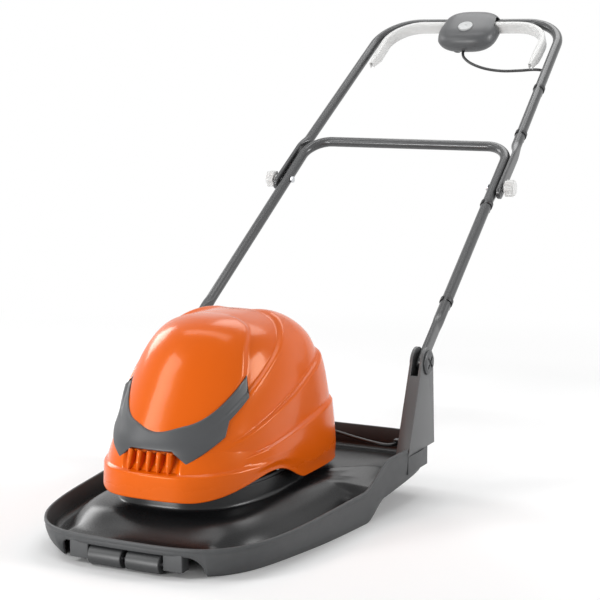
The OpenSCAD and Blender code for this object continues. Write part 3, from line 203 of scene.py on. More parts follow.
# %% Studio
FILL, WHITE = 0.27, (1, 1, 1, 1)
bpy.context.scene.view_settings.view_transform = "Standard"
world = bpy.data.worlds.new("studio")
world.use_nodes = True
bpy.context.scene.world = world
sky = NodeTree(world.node_tree)
fill = sky.add("Background", None, {"Color": WHITE, "Strength": FILL})
backdrop = sky.add("Background", None, {"Color": WHITE, "Strength": 1.0})
sky.add("OutputWorld", None, {0: sky.add("MixShader", None, {0: sky.seen(), 1: fill, 2: backdrop})})


def soft_box(name, place, target, size, power):
    """Adds a rectangular lamp of size (width, height) at place, its -Z axis towards target."""
    lamp = bpy.data.lights.new(name, "AREA")
    lamp.shape, lamp.energy = "RECTANGLE", power
    lamp.size, lamp.size_y = size
    box = bpy.data.objects.new(name, lamp)
    box.location = place
    box.rotation_euler = (Vector(target) - Vector(place)).to_track_quat("-Z", "Y").to_euler()
    bpy.context.scene.collection.objects.link(box)


SOFT_BOXES = [("box_left", (-1.5, -1.2, 1.85), (0, -0.1, 0.2), (0.55, 0.9), 15),
              ("box_top", (-0.6, 0.35, 3.25), (-0.6, 0.15, 0), (2.7, 0.65), 22),
              ("box_back", (-0.1, 2.2, 2.85), (-0.1, 0.1, 0.1), (2.2, 1.1), 28),
              ("box_right", (2.3, 0.9, 1.3), (0, 0, 0.2), (0.8, 1.2), 36),
              ("box_side", (-1.9, 0.75, 1.25), (0, 0, 0.1), (0.8, 0.8), 14),
              ("box_front", (-0.9, -2.8, 0.35), (0, -0.2, 0.15), (1.3, 0.5), 60)]
for row in SOFT_BOXES:
    soft_box(*row)
FLOOR_HALF = 24.0
floor_mesh = bpy.data.meshes.new("floor")
corners = [(x * FLOOR_HALF, y * FLOOR_HALF, 0) for x, y in ((-1, -1), (1, -1), (1, 1), (-1, 1))]
floor_mesh.from_pydata(corners, [], [(0, 1, 2, 3)])
floor = bpy.data.objects.new("floor", floor_mesh)
bpy.context.scene.collection.objects.link(floor)
print("studio:", len(SOFT_BOXES), "soft boxes, white world, floor", 2 * FLOOR_HALF, "m")

# %% [markdown]
# ## Finishes
# Moulded plastic has a fine spark-eroded grain, colour that drifts slightly over a hand's breadth, and cloudy
# patches where handling polished it. Painted tube has a denser orange-peel skin with a little metal in it. Machined
# metal shows fine lines. The two helpers below cover most pieces, and the shells get finishes of their own.

# %% Plastics and metals


def moulded(name, colour, roughness, grain=1300, depth=0.00001, drift=0.06, **constants):
    """Plastic: colour drifts by the given share, grain per metre stands as bump, roughness is cloudy."""
    f = Finish(name, **constants)
    cloud, fine = f.noise(9, 3), f.noise(grain, 2)
    f.feed({"Base Color": f.mix(cloud, shade(colour, 1 - drift), shade(colour, 1 + drift)),
            "Roughness": roughness - 0.07 + cloud * 0.14 + (fine - 0.5) * 0.1,
            "Normal": f.bump(fine, depth)})
    return f


def machined(name, colour, roughness, lines=700, stretch=(1, 1, 0.04), **constants):
    """Metal: fine lines drawn along the stretched axis vary roughness and stand as bump."""
    f = Finish(name, Metallic=1.0, **constants)
    drawn = f.add("Mapping", None, {"Vector": f.place, "Scale": stretch})
    line, cloud = f.noise(lines, 3, drawn), f.noise(14, 3)
    f.feed({"Base Color": f.mix(cloud, shade(colour, 0.88), shade(colour, 1.06)),
            "Roughness": roughness + (line - 0.5) * 0.25 + (cloud - 0.5) * 0.12,
            "Normal": f.bump(line, 0.000006)})
    return f


visor_plastic = moulded("slate_plastic", (0.046, 0.048, 0.051), 0.4, 1500, 0.000014)
box_plastic = moulded("switch_box_plastic", (0.066, 0.068, 0.071), 0.4, 1600, 0.000012)
roller_plastic = moulded("roller_plastic", (0.036, 0.037, 0.038), 0.46, 900, 0.00002, 0.1)
bracket_plastic = moulded("bracket_plastic", (0.085, 0.087, 0.089), 0.42, 1300, 0.000014)
black_plastic = moulded("black_plastic", (0.012, 0.012, 0.013), 0.42)
white_plastic = moulded("white_plastic", (0.6, 0.6, 0.592), 0.36, 1500, 0.000004, 0.02)
pale_plastic = moulded("pale_plastic", (0.46, 0.47, 0.47), 0.4, 1500, 0.000006, 0.03)
lead_rubber = moulded("lead_rubber", (0.011, 0.011, 0.012), 0.38, 800, 0.00001)
belt_rubber = moulded("belt_rubber", (0.014, 0.014, 0.014), 0.62, 600, 0.00004)
plated_steel = machined("plated_steel", (0.6, 0.61, 0.63), 0.34)
cast_aluminium = machined("cast_aluminium", (0.62, 0.63, 0.64), 0.46, 260, (1, 1, 1))
iron = machined("laminated_iron", (0.32, 0.32, 0.33), 0.5, 1100, (0.02, 0.02, 1))
copper = machined("copper_winding", (0.72, 0.33, 0.15), 0.32, 900, (0.05, 0.05, 1))
carbon = moulded("carbon", (0.02, 0.02, 0.021), 0.55, 700, 0.00003)
print("finishes:", len(bpy.data.materials))

# %% [markdown]
# The handle is steel tube under a dark grey metallic paint. Its skin is a little uneven, as sprayed paint is, and
# the paint is thinner and brighter in small flecks.

# %% Tube paint
tube_paint = Finish("tube_paint", Metallic=0.15, Coat_Weight=0.3, Coat_Roughness=0.12)
peel, fleck, worn = tube_paint.noise(420, 3), tube_paint.noise(2600, 1), tube_paint.noise(6, 4)
tube_paint.feed({
    "Base Color": tube_paint.mix(fleck * 0.5 + worn * 0.5, (0.03, 0.031, 0.032, 1), (0.05, 0.0512, 0.053, 1)),
    "Roughness": 0.24 + peel * 0.12 + worn * 0.06, "Normal": tube_paint.bump(peel, 0.000012)})
print("tube paint:", len(tube_paint.tree.nodes), "nodes")

# %% [markdown]
# The motor cover is glossy orange plastic. The gloss is a clear skin over a softer body, so a coat lies over a
# rougher base. Polished tooling leaves a faint long wave in the skin, and grass and handling dull the lowest edge.
# The mesh carries a value called `recess`, the depth of the louvre's recess. Its deepest part is coloured near black
# and made rough, as painted shade.

# %% Cover plastic
cover_plastic = Finish("orange_plastic", Coat_Weight=0.15, Coat_Roughness=0.06, Specular_IOR_Level=0.28,
                       Specular_Tint=(1, 0.55, 0.25, 1))
wave, broad, haze = cover_plastic.noise(55, 2), cover_plastic.noise(5, 3), cover_plastic.noise(38, 4)
low_edge = 1 - cover_plastic.between(cover_plastic.height() + haze * 0.03, 0.09, 0.15)
ORANGE = (0.66, 0.102, 0.0015)
# Painted shade: where the louvre's recess is deepest, under the visor, the colour turns near black.
painted_recess_shade = cover_plastic.between(cover_plastic.attribute("recess"), 0.6, 0.85)
skin = cover_plastic.mix(broad, shade(ORANGE, 0.96), shade(ORANGE, 1.04))
skin = cover_plastic.mix(low_edge * 0.5, skin, shade(ORANGE, 0.9))
cover_plastic.feed({
    "Base Color": cover_plastic.mix(painted_recess_shade, skin, (0.03, 0.005, 0.001, 1)),
    "Roughness": 0.2 + broad * 0.06 + low_edge * 0.1 + painted_recess_shade * 0.4,
    "Normal": cover_plastic.bump(wave, 0.00005)})
print("cover plastic:", len(cover_plastic.tree.nodes), "nodes")

# %% [markdown]
# The hood is one dark grey moulding. Its top is smooth and semi-gloss, and its outer wall has a coarser grain that
# hides scratches. The top's grey is painted far darker than the wall's, as painted shade for the dark look of its
# gloss. The mesh carries a value called `wall` that says how far a point lies on that side.

# %% Hood plastic
hood_plastic = Finish("hood_plastic", Specular_IOR_Level=0.3)
wall = hood_plastic.attribute("wall")
cloud, grain, scuff = hood_plastic.noise(6, 4), hood_plastic.noise(1100, 2), hood_plastic.noise(60, 5)
# Painted shade: the smooth top is coloured near black for the dark look of its gloss, far darker than the wall's grey.
top_grey_painted_dark = hood_plastic.mix(cloud, (0.0055, 0.0056, 0.006, 1), (0.008, 0.0082, 0.0088, 1))
rough_grey = hood_plastic.mix(scuff, (0.055, 0.0565, 0.058, 1), (0.075, 0.077, 0.079, 1))
hood_plastic.feed({
    "Base Color": hood_plastic.mix(wall, top_grey_painted_dark, rough_grey),
    "Roughness": 0.24 + cloud * 0.08 + wall * 0.22 + (grain - 0.5) * 0.08,
    "Normal": hood_plastic.bump(grain * (wall * 0.8 + 0.2), 0.000016)})
print("hood plastic:", len(hood_plastic.tree.nodes), "nodes")

# %% [markdown]
# The floor is plain white paper. Close to the mower it is lit like everything else, so it keeps the shadow. Farther
# away it turns into an even white for the eye, which lights nothing.

# %% Floor
FLOOR_NEAR, FLOOR_FAR = 0.8, 2.2
floor_finish = moulded("floor_white", (0.93, 0.93, 0.93), 0.9, 300, 0.00002, 0.004, Specular_IOR_Level=0.1)
distance = floor_finish.add("VectorMath", {"operation": "LENGTH"}, {0: floor_finish.place}, 1)
away = floor_finish.between(distance, FLOOR_NEAR, FLOOR_FAR) * floor_finish.seen()
glow = floor_finish.add("Emission", None, {"Color": WHITE, "Strength": 1.0})
blend = floor_finish.add("MixShader", None, {0: away, 1: floor_finish.surface, 2: glow})
floor_finish.tree.links.new(blend.socket, floor_finish.tree.nodes["Material Output"].inputs[0])
floor_finish.material.cycles.emission_sampling = "NONE"
floor_mesh.materials.append(floor_finish.material)
print("finishes:", len(bpy.data.materials))

# %% [markdown]
# ## From formulas to meshes
# The shapes below are built from a handful of formulas: an eased step, a straight blend, a power that keeps its sign,
# points from their three parts, a circle of angles, the heading of a path and a smooth curve through given points.

# %% Formulas


def ease(t):
    """0 to 1 with level ends: t squared times (3 - 2t)."""
    u = np.clip(t, 0, 1)
    return u * u * (3 - 2 * u)


def mix(a, b, t):
    """a at t = 0, b at t = 1, and straight between."""
    return a + (b - a) * t


def signed_power(v, e):
    """The size of v raised to e, with v's sign kept."""
    return np.sign(v) * np.abs(v) ** e


def together(*parts):
    """Arrays and numbers, stretched to one shape and stacked along a new last axis, such as x, y and z of points."""
    return np.stack(np.broadcast_arrays(*parts), -1)


def circle(count):
    """Angles of count points round a circle, in radians."""
    return np.arange(count) / count * 2 * np.pi


def heading(path):
    """Unit direction of travel at every point of a path."""
    along = np.gradient(path, axis=0)
    return along / np.linalg.norm(along, axis=1)[:, None]


def catmull(p, q, r, s, f):
    """Catmull-Rom curve from q to r at share f, with p before them and s after."""
    return 0.5 * (2 * q + (r - p) * f + (2 * p - 5 * q + 4 * r - s) * f ** 2 + (3 * q - p - 3 * r + s) * f ** 3)


def cosd(a):
    """Cosine of an angle in degrees."""
    return np.cos(np.radians(a))


def sind(a):
    """Sine of an angle in degrees."""
    return np.sin(np.radians(a))


def tand(a):
    """Tangent of one angle in degrees."""
    return math.tan(math.radians(a))


print("formulas ready; halfway of an eased step:", ease(0.5))

# %% [markdown]
# A surface is an array of points, rows by columns, in millimetres. Neighbouring rows and columns make the faces, and a
# closed direction wraps round. Many pieces are one section that is carried along a line or turned round an axis.

# %% Faces


def quads(rows, cols, wrap_rows=False):
    """Faces of a grid of points numbered row by row, its rows closed."""
    i, j = np.arange(rows if wrap_rows else rows - 1)[:, None], np.arange(cols)[None, :]
    k, m = (i + 1) % rows, (j + 1) % cols
    return together(i * cols + j, i * cols + m, k * cols + m, k * cols + j).reshape(-1, 4)


def fan(ring, tip):
    """Triangles from a closed ring of point numbers to one tip."""
    return together(ring, np.roll(ring, -1), tip)


def capped(rows, cols):
    """Faces of a grid of closed rings, and fans to two tips that are numbered after the grid."""
    ring, size = np.arange(cols), rows * cols
    return [quads(rows, cols), fan(ring[::-1], size), fan(ring + size - cols, size + 1)]


def carried(line, side, other, x, y):
    """A closed bar along a line: x and y give its section at every point, measured along side and other."""
    tube = line[:, None] + x[..., None] * side[:, None] + y[..., None] * other[:, None]
    return np.concatenate([tube.reshape(-1, 3), line[[0, -1]]]), capped(*tube.shape[:2])


def turned(reach, sides):
    """Both parts of a reach that is carried round a circle in even steps, and the faces between the steps."""
    turn = np.arange(sides)[:, None] * 360 / sides
    return reach * cosd(turn), reach * sind(turn), [quads(sides, len(reach), wrap_rows=True)]


print("faces of 3 rings of 8 points:", sum(len(group) for group in capped(3, 8)))

# %% [markdown]
# A mesh gets all its points and faces at once, and its faces are turned outwards. A piece is a mesh with a finish that
# rides on one of the frame's bodies and takes the place of the solids it stands for.

# %% Meshes and pieces


def make_mesh(name, points, face_groups, sharp=None):
    """A mesh from points in millimetres and arrays of faces, turned outwards, smooth up to an angle."""
    mesh = bpy.data.meshes.new(name)
    mesh.vertices.add(len(points))
    mesh.vertices.foreach_set("co", (np.asarray(points, float) * MM).astype(np.float32).ravel())
    corners = np.concatenate([g.ravel() for g in face_groups])
    sizes = np.concatenate([np.full(len(g), g.shape[1]) for g in face_groups])
    mesh.loops.add(len(corners))
    mesh.loops.foreach_set("vertex_index", corners.astype(np.int32))
    mesh.polygons.add(len(sizes))
    mesh.polygons.foreach_set("loop_start", (np.cumsum(sizes) - sizes).astype(np.int32))
    mesh.update(calc_edges=True)
    mesh.validate()
    finish_mesh(mesh, sharp)
    return mesh


def finish_mesh(mesh, sharp=None):
    """Turns faces outwards and smooths all edges that bend by less than sharp degrees."""
    bm = bmesh.new()
    bm.from_mesh(mesh)
    bmesh.ops.recalc_face_normals(bm, faces=bm.faces)
    bm.to_mesh(mesh)
    bm.free()
    mesh.shade_smooth()
    if sharp:
        mesh.set_sharp_from_angle(angle=math.radians(sharp))


def mark(mesh, name, value):
    """Stores one number per point under a name that a finish can read."""
    mesh.attributes.new(name, "FLOAT", "POINT").data.foreach_set("value", value)


def dress(name, mesh, finish, slot, body, *stands_for):
    """Adds a mesh as a piece that rides on a body and stands for CAD nodes."""
    mesh.materials.clear()
    mesh.materials.append(finish.material)
    piece = bpy.data.objects.new(name, mesh)
    bpy.context.scene.collection.objects.link(piece)
    if body:
        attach(piece, body)
    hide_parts(*stands_for)
    print(name, len(mesh.vertices), "points")
    return piece


print("meshes and pieces ready")

# %% [markdown]
# Small blocks are boxes with rounded edges. They join a larger mesh where the mould makes them in one piece, and the
# corners of any drawn outline are rounded by parabolas.

# %% Rounded shapes


def round_box(low, high, r, count=10):
    """Points and faces of a box with rounded edges: a unit cube's grid, pushed out by r from an inner box."""
    low, high = np.asarray(low, float), np.asarray(high, float)
    lat = np.linspace(-math.pi / 2, math.pi / 2, 2 * count)[1:-1][:, None]
    lon = circle(4 * count)[None, :]
    ball = together(np.cos(lat) * np.cos(lon), np.cos(lat) * np.sin(lon), np.sin(lat))
    centre, half = (low + high) / 2, (high - low) / 2 - r
    cube = np.sign(ball) * np.minimum(1, np.abs(ball) * 40)
    points = (centre + cube * half + ball * r).reshape(-1, 3)
    tips = centre + np.array([[0, 0, -1], [0, 0, 1]]) * (half + r)
    return np.concatenate([points, tips]), capped(len(lat), lon.shape[1])


def joined(parts):
    """One list of points and one of face groups from several (points, faces)."""
    points, groups, start = [], [], 0
    for p, faces in parts:
        points.append(p)
        groups += [f + start for f in faces]
        start += len(p)
    return np.concatenate(points), groups


def rounded(corners, reach, count):
    """Rounds each corner of closed outlines: a parabola from reach before the corner to reach after it.
    corners is outlines x corners x 2; reach stays under 45% of the shorter side."""
    before, after = np.roll(corners, 1, axis=1), np.roll(corners, -1, axis=1)
    out = []
    for k in range(corners.shape[1]):
        c, t = corners[:, k], np.linspace(0, 1, count[k])[None, :, None]
        b, a = before[:, k] - c, after[:, k] - c
        lb = np.maximum(np.linalg.norm(b, axis=1), 1e-9)[:, None]
        la = np.maximum(np.linalg.norm(a, axis=1), 1e-9)[:, None]
        p = c + b / lb * np.minimum(reach[k], 0.45 * lb)
        q = c + a / la * np.minimum(reach[k], 0.45 * la)
        out.append((1 - t) ** 2 * p[:, None] + 2 * t * (1 - t) * c[:, None] + t ** 2 * q[:, None])
    return np.concatenate(out, axis=1)


print("a rounded box has", len(round_box((0, 0, 0), (9, 9, 9), 1)[0]), "points")

# %% [markdown]
# ## Hood
# The hood is a closed moulding round the blade: a rim with a lip, a gutter, a dome and a plinth that carries the
# motor. In every direction round the blade axis its section is a chain of moulding lines, so the whole shell is one
# surface of direction and place along the section. Each line is softened by a parabola of its own length, as the
# mould's radii are. At the front the wall's foot rises over the rollers, with slanting ends.

# %% Hood outline
HOOD_FRONT, HOOD_REAR, HOOD_HALF_W, HOOD_TAPER = 303, 328, 228, 0.09
PLINTH = (203, 178, 124, 2.6)


def fold(a):
    """Degrees away from the front, 0 to 180."""
    return np.abs((a + 180) % 360 - 180)


def rim_r(a):
    """Reach of the rim: a rounded trapezoid whose half width shrinks towards the front, found by repetition."""
    c, s = cosd(a), np.abs(sind(a))
    n = np.where(c >= 0, 4.0, 10.0)
    reach = np.where(c >= 0, HOOD_FRONT, HOOD_REAR)
    r = np.full_like(c, 300.0)
    for _ in range(9):
        r = ((s / (HOOD_HALF_W - HOOD_TAPER * r * c)) ** n + (np.abs(c) / reach) ** n) ** (-1 / n)
    return r


def plinth_r(a):
    """Reach of the plinth: a superellipse with its own front, rear and side reach."""
    front, rear, side, n = PLINTH
    return ((np.abs(sind(a)) / side) ** n + (np.abs(cosd(a)) / np.where(cosd(a) >= 0, front, rear)) ** n) ** (-1 / n)


def flare(a):
    """How far the wall's foot stands inside its rim, most at the front corners."""
    return 8 + 16 * np.exp(-(((fold(a) - 42) / 28) ** 2))


print("rim reaches", rim_r(np.array([0.0, 90.0, 180.0])).round(), "mm to the front, side and rear")

# %% [markdown]
# Along the section the lines lie at fixed distances inside the rim until they meet the plinth. Their heights follow
# the rim and the foot, which both rise towards the rear.

# %% Hood lines
RIM_H, RIM_RISE, WALL, DECK_Z = 47, 36, 3, 98
UNDER_WALL = 1.3 * WALL
GUTTER_Z, GUTTER_MAX_Z, LUG_TOP, CUT_W = 20, 62, 36, 350
FLANGE_W, PLINTH_Z, DRAFT, SKIRT_GAP = 18, 70, 2, 10
LIP_W, GUTTER_OUTER, GUTTER_INNER, SLOPE_IN, SHOULDER_IN = 4, 13, 36, 56, 86
SLOPE_H, SHOULDER_H = 46, 64


def foot_z(y):
    """Height of the wall's foot: level, then a ramp up behind the blade."""
    return 30 * ease((y - 80) / 62) + 26 * np.clip((y - 142) / (HOOD_REAR - 142), 0, 1)


def rim_z(y):
    """Height of the rim: a slight climb towards the rear, and one eased step beside the cover."""
    return RIM_H + 0.03 * (y + HOOD_FRONT) + RIM_RISE * ease((y - 60) / 90)


def hood_top(a):
    """Radius and height of the nine moulding lines of the upper side, from the rim to the flange."""
    r, p = rim_r(a), plinth_r(a)
    y = -r * cosd(a)
    g = np.minimum(GUTTER_Z + foot_z(y), GUTTER_MAX_Z) + (LUG_TOP - GUTTER_Z) * ease((33 - fold(a)) / 9)
    radius = [r, r - LIP_W, r - GUTTER_OUTER - 0.3 * flare(a), r - GUTTER_INNER, r - SLOPE_IN, r - SHOULDER_IN,
              p, p - DRAFT, p - FLANGE_W]
    deck = np.full_like(r, DECK_Z)
    height = [rim_z(y), rim_z(y), g, g + 2, np.maximum(SLOPE_H, g + 6), np.maximum(SHOULDER_H, g + 10),
              np.maximum(PLINTH_Z, g + 11), deck, deck]
    return np.array(radius), np.array(height)


def under(radius, height, r):
    """Height of the underside at radius r: the upper lines joined straight, less the wall."""
    z = height[6].copy()
    for i in reversed(range(6)):
        t = (r - radius[i]) / np.minimum(radius[i + 1] - radius[i], -1e-9)
        z = np.where((r <= radius[i]) & (r >= radius[i + 1]), mix(height[i], height[i + 1], t), z)
    return z - UNDER_WALL


print("rim is", rim_z(np.array([-HOOD_FRONT, HOOD_REAR])).round(), "mm high at the front and the rear")

# %% [markdown]
# The columns crowd together at the corners, where the rim bends most. The wall bellies out a little under its lip,
# its foot rises over the roller bay, and a flat is pressed in under each bracket.

# %% Hood section
BAY_HALF_W, BAY_FLARE, BAY_TOP = 98, 26, 32
PIVOT_X, BRACKET_W, BRACKET_FRONT, BRACKET_FOOT_Z = 235, 23, 211, 84
HOOD_COLUMNS = 640
turn = np.arange(HOOD_COLUMNS) / HOOD_COLUMNS * 360
a = np.degrees(np.arctan2(signed_power(sind(turn), 0.75), 1.3 * signed_power(cosd(turn), 0.75)))
radius, height = hood_top(a)
skirt = np.maximum(CUT_W / 2 + SKIRT_GAP, plinth_r(a) + 4)
foot = rim_r(a) - flare(a)
lift = foot_z(-foot * cosd(a))
beyond = np.clip((np.abs(foot * sind(a)) - BAY_HALF_W) / BAY_FLARE, 0, 1)
ends = np.sqrt(1 - beyond ** 2)
bay = np.where(cosd(a) > 0, ends * (BAY_TOP + 1) - 1, -1)
lift_bay = np.maximum(lift, bay)
foot = np.where(bay > lift, mix(foot, rim_r(a), lift_bay / height[0]), foot)
inside = [np.minimum(radius[5 - i], skirt - 0.6 * (4 - i)) for i in range(4)]
outside = [np.maximum(radius[5 - i], skirt + WALL + 0.6 * (i + 1)) for i in range(4)]
p = plinth_r(a)
deck_under = np.full_like(p, DECK_Z - WALL)
ground = np.zeros_like(p)
tall = height[0] - lift_bay
LIP_H = 6
belly = [(mix(foot, radius[0], 0.62), lift_bay + 0.3 * tall), (radius[0] - 1.6, lift_bay + 0.66 * tall),
         (radius[0] - 1.3, height[0] - LIP_H - 0.8), (radius[0], height[0] - LIP_H)]
section = ([(foot, lift_bay)] + belly + list(zip(radius, height))
           + [(p - FLANGE_W, deck_under), (p - WALL - DRAFT, deck_under), (p - WALL, height[6] - UNDER_WALL)]
           + [(r, under(radius, height, r)) for r in inside]
           + [(skirt, under(radius, height, skirt)), (skirt, ground), (skirt + WALL, ground),
              (skirt + WALL, under(radius, height, skirt + WALL))]
           + [(r, under(radius, height, r)) for r in outside] + [(foot - WALL, lift_bay)])
corners = np.array(section).transpose(2, 0, 1)
reach = ([0.9, 9, 9, 0.5, 0.6, 1.8, 1.8, 10, 15, 15, 18, 6, 1, 0.3, 0.3, 1, 3] + [6] * 4 + [1, 0.8, 0.8, 1]
         + [6] * 4 + [0.9])
count = [3, 5, 5, 2, 2, 4, 4, 7, 7, 7, 8, 6, 4, 2, 2, 2, 3] + [3] * 4 + [2, 3, 3, 2] + [3] * 4 + [3]
outline = rounded(corners, reach, count)
owner = np.repeat(np.arange(len(count)), count)
shell = together(outline[..., 0] * sind(a)[:, None], -outline[..., 0] * cosd(a)[:, None], outline[..., 1])
seat = (np.abs(shell[..., 0]) > PIVOT_X - BRACKET_W / 2 - 2) & (shell[..., 1] > BRACKET_FRONT - 2)
limit = np.where((owner >= 3) & (owner <= 13), BRACKET_FOOT_Z, BRACKET_FOOT_Z - UNDER_WALL)[None, :]
shell[..., 2] = np.where(seat, np.minimum(shell[..., 2], limit), shell[..., 2])
on_wall = np.where((owner <= 5) | (owner == 29), 1.0, np.where(owner == 6, 0.6, 0.0))
on_wall = np.broadcast_to(on_wall, shell.shape[:2])
print("hood section:", len(count), "lines,", len(owner), "points")

# %% [markdown]
# Two lugs hold the roller axle at the front, and a pad under each bracket takes its screws. They are rounded boxes
# that join the shell in one mesh, and all of them have the wall's coarser grain.

# %% Hood shell
LUG_X, LUG_W, ROLLER_Y = 65, 33, -290
parts = [(shell.reshape(-1, 3), [quads(HOOD_COLUMNS, len(owner), wrap_rows=True)])]
for side in (-1, 1):
    x = sorted((side * LUG_X, side * (LUG_X + LUG_W)))
    parts.append(round_box((x[0], ROLLER_Y - 6.6, 8), (x[1], ROLLER_Y + 15, LUG_TOP - 0.5), 2))
    x = sorted((side * (PIVOT_X - BRACKET_W / 2), side * (PIVOT_X + BRACKET_W / 2)))
    parts.append(round_box((x[0], BRACKET_FRONT, 52), (x[1], BRACKET_FRONT + 88, BRACKET_FOOT_Z), 1.5))
points, groups = joined(parts)
hood_mesh = make_mesh("hood_shell", points, groups, sharp=50)
value = np.ones(len(points), np.float32)
value[:on_wall.size] = on_wall.ravel()
mark(hood_mesh, "wall", value)
dress("hood_shell", hood_mesh, hood_plastic, "hood_plastic", "deck", "hood")

# %% [markdown]
# ## Motor cover
# The cover is a shell whose outline changes from a blunt nose to a square tail as it rises. Eight outlines with
# their own front, side and rear reach are joined by a Catmull-Rom curve in every direction. Its flanks carry steps
# that all sweep up from one point ahead of the nose: a step depends only on the angle at that point, so it stays a
# clean line however the shell bends.

# %% Cover formulas
COVER_FRONT, COVER_REAR, COVER_HALF_W, COVER_TOP, COVER_WALL = 232, 204, 142, 346, 3
COVER_MID_Y, COVER_FOOT = 40, (92, 84, 84)
COVER_LEVELS = [
    [(0, 0), (0, 0), (0, 0), 3, 4.5], [(1, 0.15), (2, 0.16), (2, 0.14), 3, 4.5],
    [(10, 0.28), (5, 0.31), (6, 0.31), 2.7, 4.2], [(34, 0.41), (9, 0.46), (14, 0.48), 2.5, 4],
    [(74, 0.62), (17, 0.65), (30, 0.67), 2.4, 3.6], [(115, 0.82), (32, 0.82), (50, 0.82), 2.3, 3.2],
    [(154, 0.94), (60, 0.93), (84, 0.92), 2.2, 2.8], [(207, 0.995), (102, 0.985), (124, 0.98), 2, 2.2]]


def level_point(k, a, inset):
    """Outline k of the cover in directions a: a superellipse, its height eased from front to side to rear."""
    (fr, fz), (sr, sz), (rr, rz), nf, nr = COVER_LEVELS[k]
    c, s = cosd(a), sind(a)
    front = c >= 0
    n = np.where(front, nf, nr)
    reach = np.where(front, COVER_FRONT + COVER_MID_Y - fr, COVER_REAR - COVER_MID_Y - rr) - inset
    r = ((np.abs(s) / (COVER_HALF_W - sr - inset)) ** n + (np.abs(c) / reach) ** n) ** (-1 / n)
    z = [f + (COVER_TOP - f) * share for f, share in zip(COVER_FOOT, (fz, sz, rz))]
    d = fold(a)
    lift = {0: 30 * ease((d - 14) / 36) * ease((86 - d) / 34), 1: 14 * ease((d - 18) / 34) * ease((95 - d) / 25)}
    up = np.where(front, z[0], z[2]) * c * c + z[1] * s * s + lift.get(k, 0 * a) - inset * k / 8
    return together(r * s, COVER_MID_Y - r * c, up)


def cover_base(a, t, inset=0.0):
    """Point of the plain shell in direction a at t, 0 at the foot and 1 at the crown (arrays of one shape): a
    Catmull-Rom curve through the outlines, drawn straight at the nose, where its band ends in a crease."""
    a, t = np.broadcast_arrays(np.asarray(a, float), np.asarray(t, float))
    crown = np.broadcast_to(np.array([0, COVER_MID_Y - 5, COVER_TOP - inset], float), a.shape + (3,))
    keys = np.stack([level_point(0, a, inset)] + [level_point(k, a, inset) for k in range(8)] + [crown] * 3)
    x = np.minimum(t, 0.9999) * 8
    i = np.floor(x).astype(int)
    f = (x - i)[..., None]
    p, q, r, s = (np.take_along_axis(keys, (i + k)[None, ..., None], 0)[0] for k in range(4))
    curve = catmull(p, q, r, s, f)
    crease = 0.9 * (ease((78 - fold(a)) / 40) * ease((2.2 - x) / 0.4))[..., None]
    return mix(curve, mix(q, r, f), crease)


print("cover:", len(COVER_LEVELS), "outlines up to", COVER_TOP, "mm")

# %% [markdown]
# The steps on the flanks, the bonnet's crease and the ledge above the nose band are heights that are added to the
# plain shell, outwards and, nearer the top, also upwards.

# %% Cover relief
NOSE_Y, NOSE_Z, LEDGE = -(COVER_FRONT + 48), 128, 7.5
SWEEP_ANGLES, BONNET_ANGLE, SWEEP_DEPTH, FLANK_START = (8.5, 19.5, 32.6), 35.2, 9, -190
CREASE_HEIGHTS = [250, 266, 280, 294, 306, 318, 330]
CREASE_TURNS = [0, 0.5, 1.9, 3.1, 3.7, 3.6, 3.2]


def sweep_step(b, z):
    """Height of the steps at angle b from the nose point: each starts proud and dies away towards the next. The
    bonnet's crease turns a little steeper as it climbs, by up to 3.7 degrees over the height z of its run."""
    crease = BONNET_ANGLE + np.interp(z, CREASE_HEIGHTS, CREASE_TURNS)
    s0, s1, s2 = SWEEP_ANGLES
    third = ease((s2 - b) / 1.2) * mix(0.15, 1, (b - s1) / 13)
    second = ease((s1 - b) / 1.1) * mix(0.15, 1, (b - s0) / 11)
    first = ease((s0 - b) / 1.0) * mix(0.1, 0.8, (b + 8) / 16.5)
    steps = [0.75 * ease((b - crease) / 1.3), 0 * b, third, second]
    return np.select([b > crease, b > s2, b > s1, b > s0], steps, first)


def cover_point(a, t, out=0.0):
    """Point of the finished shell, its steps added, moved out by the given distance."""
    p = cover_base(a, t)
    b = np.degrees(np.arctan2(p[..., 2] - NOSE_Z, p[..., 1] - NOSE_Y))
    fade = (ease((p[..., 1] - FLANK_START) / 110) * ease((150 - fold(a)) / 24) * ease((0.93 - t) / 0.12)
            * ease((t - 0.02) / 0.06))
    z = p[..., 2]
    ledge = ease((z - 129) / 8) * (1 - ease((z - 146) / 40)) * ease((52 - fold(a)) / 20)
    d = out + SWEEP_DEPTH * fade * sweep_step(b, z) - LEDGE * ledge
    up = 0.35 * ease((t - 0.4) / 0.4)
    way = together(sind(a) * (1 - up), -cosd(a) * (1 - up), up * 1.6)
    return p + d[..., None] * way


def nose_t(a, z):
    """The t at which the plain shell reaches height z in direction a, by halving."""
    low, high = np.zeros(np.broadcast(a, z).shape), np.full(np.broadcast(a, z).shape, 0.7)
    for _ in range(24):
        t = (low + high) / 2
        below = cover_base(a, t)[..., 2] < z
        low, high = np.where(below, t, low), np.where(below, high, t)
    return (low + high) / 2


print("nose at 150 mm:", cover_point(np.zeros(1), nose_t(np.zeros(1), np.full(1, 150.0))).round(1).tolist())

# %% [markdown]
# The columns of the cover crowd together at the nose, where the louvre lies: a shelf that sinks back evenly under the
# visor, with five ribs on it that taper to a point at their lower end.

# %% Cover shell
RIB_SPACE, RIB_LOW, RIB_HIGH, RIB_R, RIB_ROOT = 17.5, 134, 164, 4.5, 4.6
RECESS_DEPTH, RECESS_HALF_W, RECESS_TOP = 20, 2.9 * RIB_SPACE, 178
COVER_ROWS, LINING_ROWS = 176, 12
spread = np.concatenate([np.arange(-20, 20, 0.36), np.arange(20, 340, 1.0)])


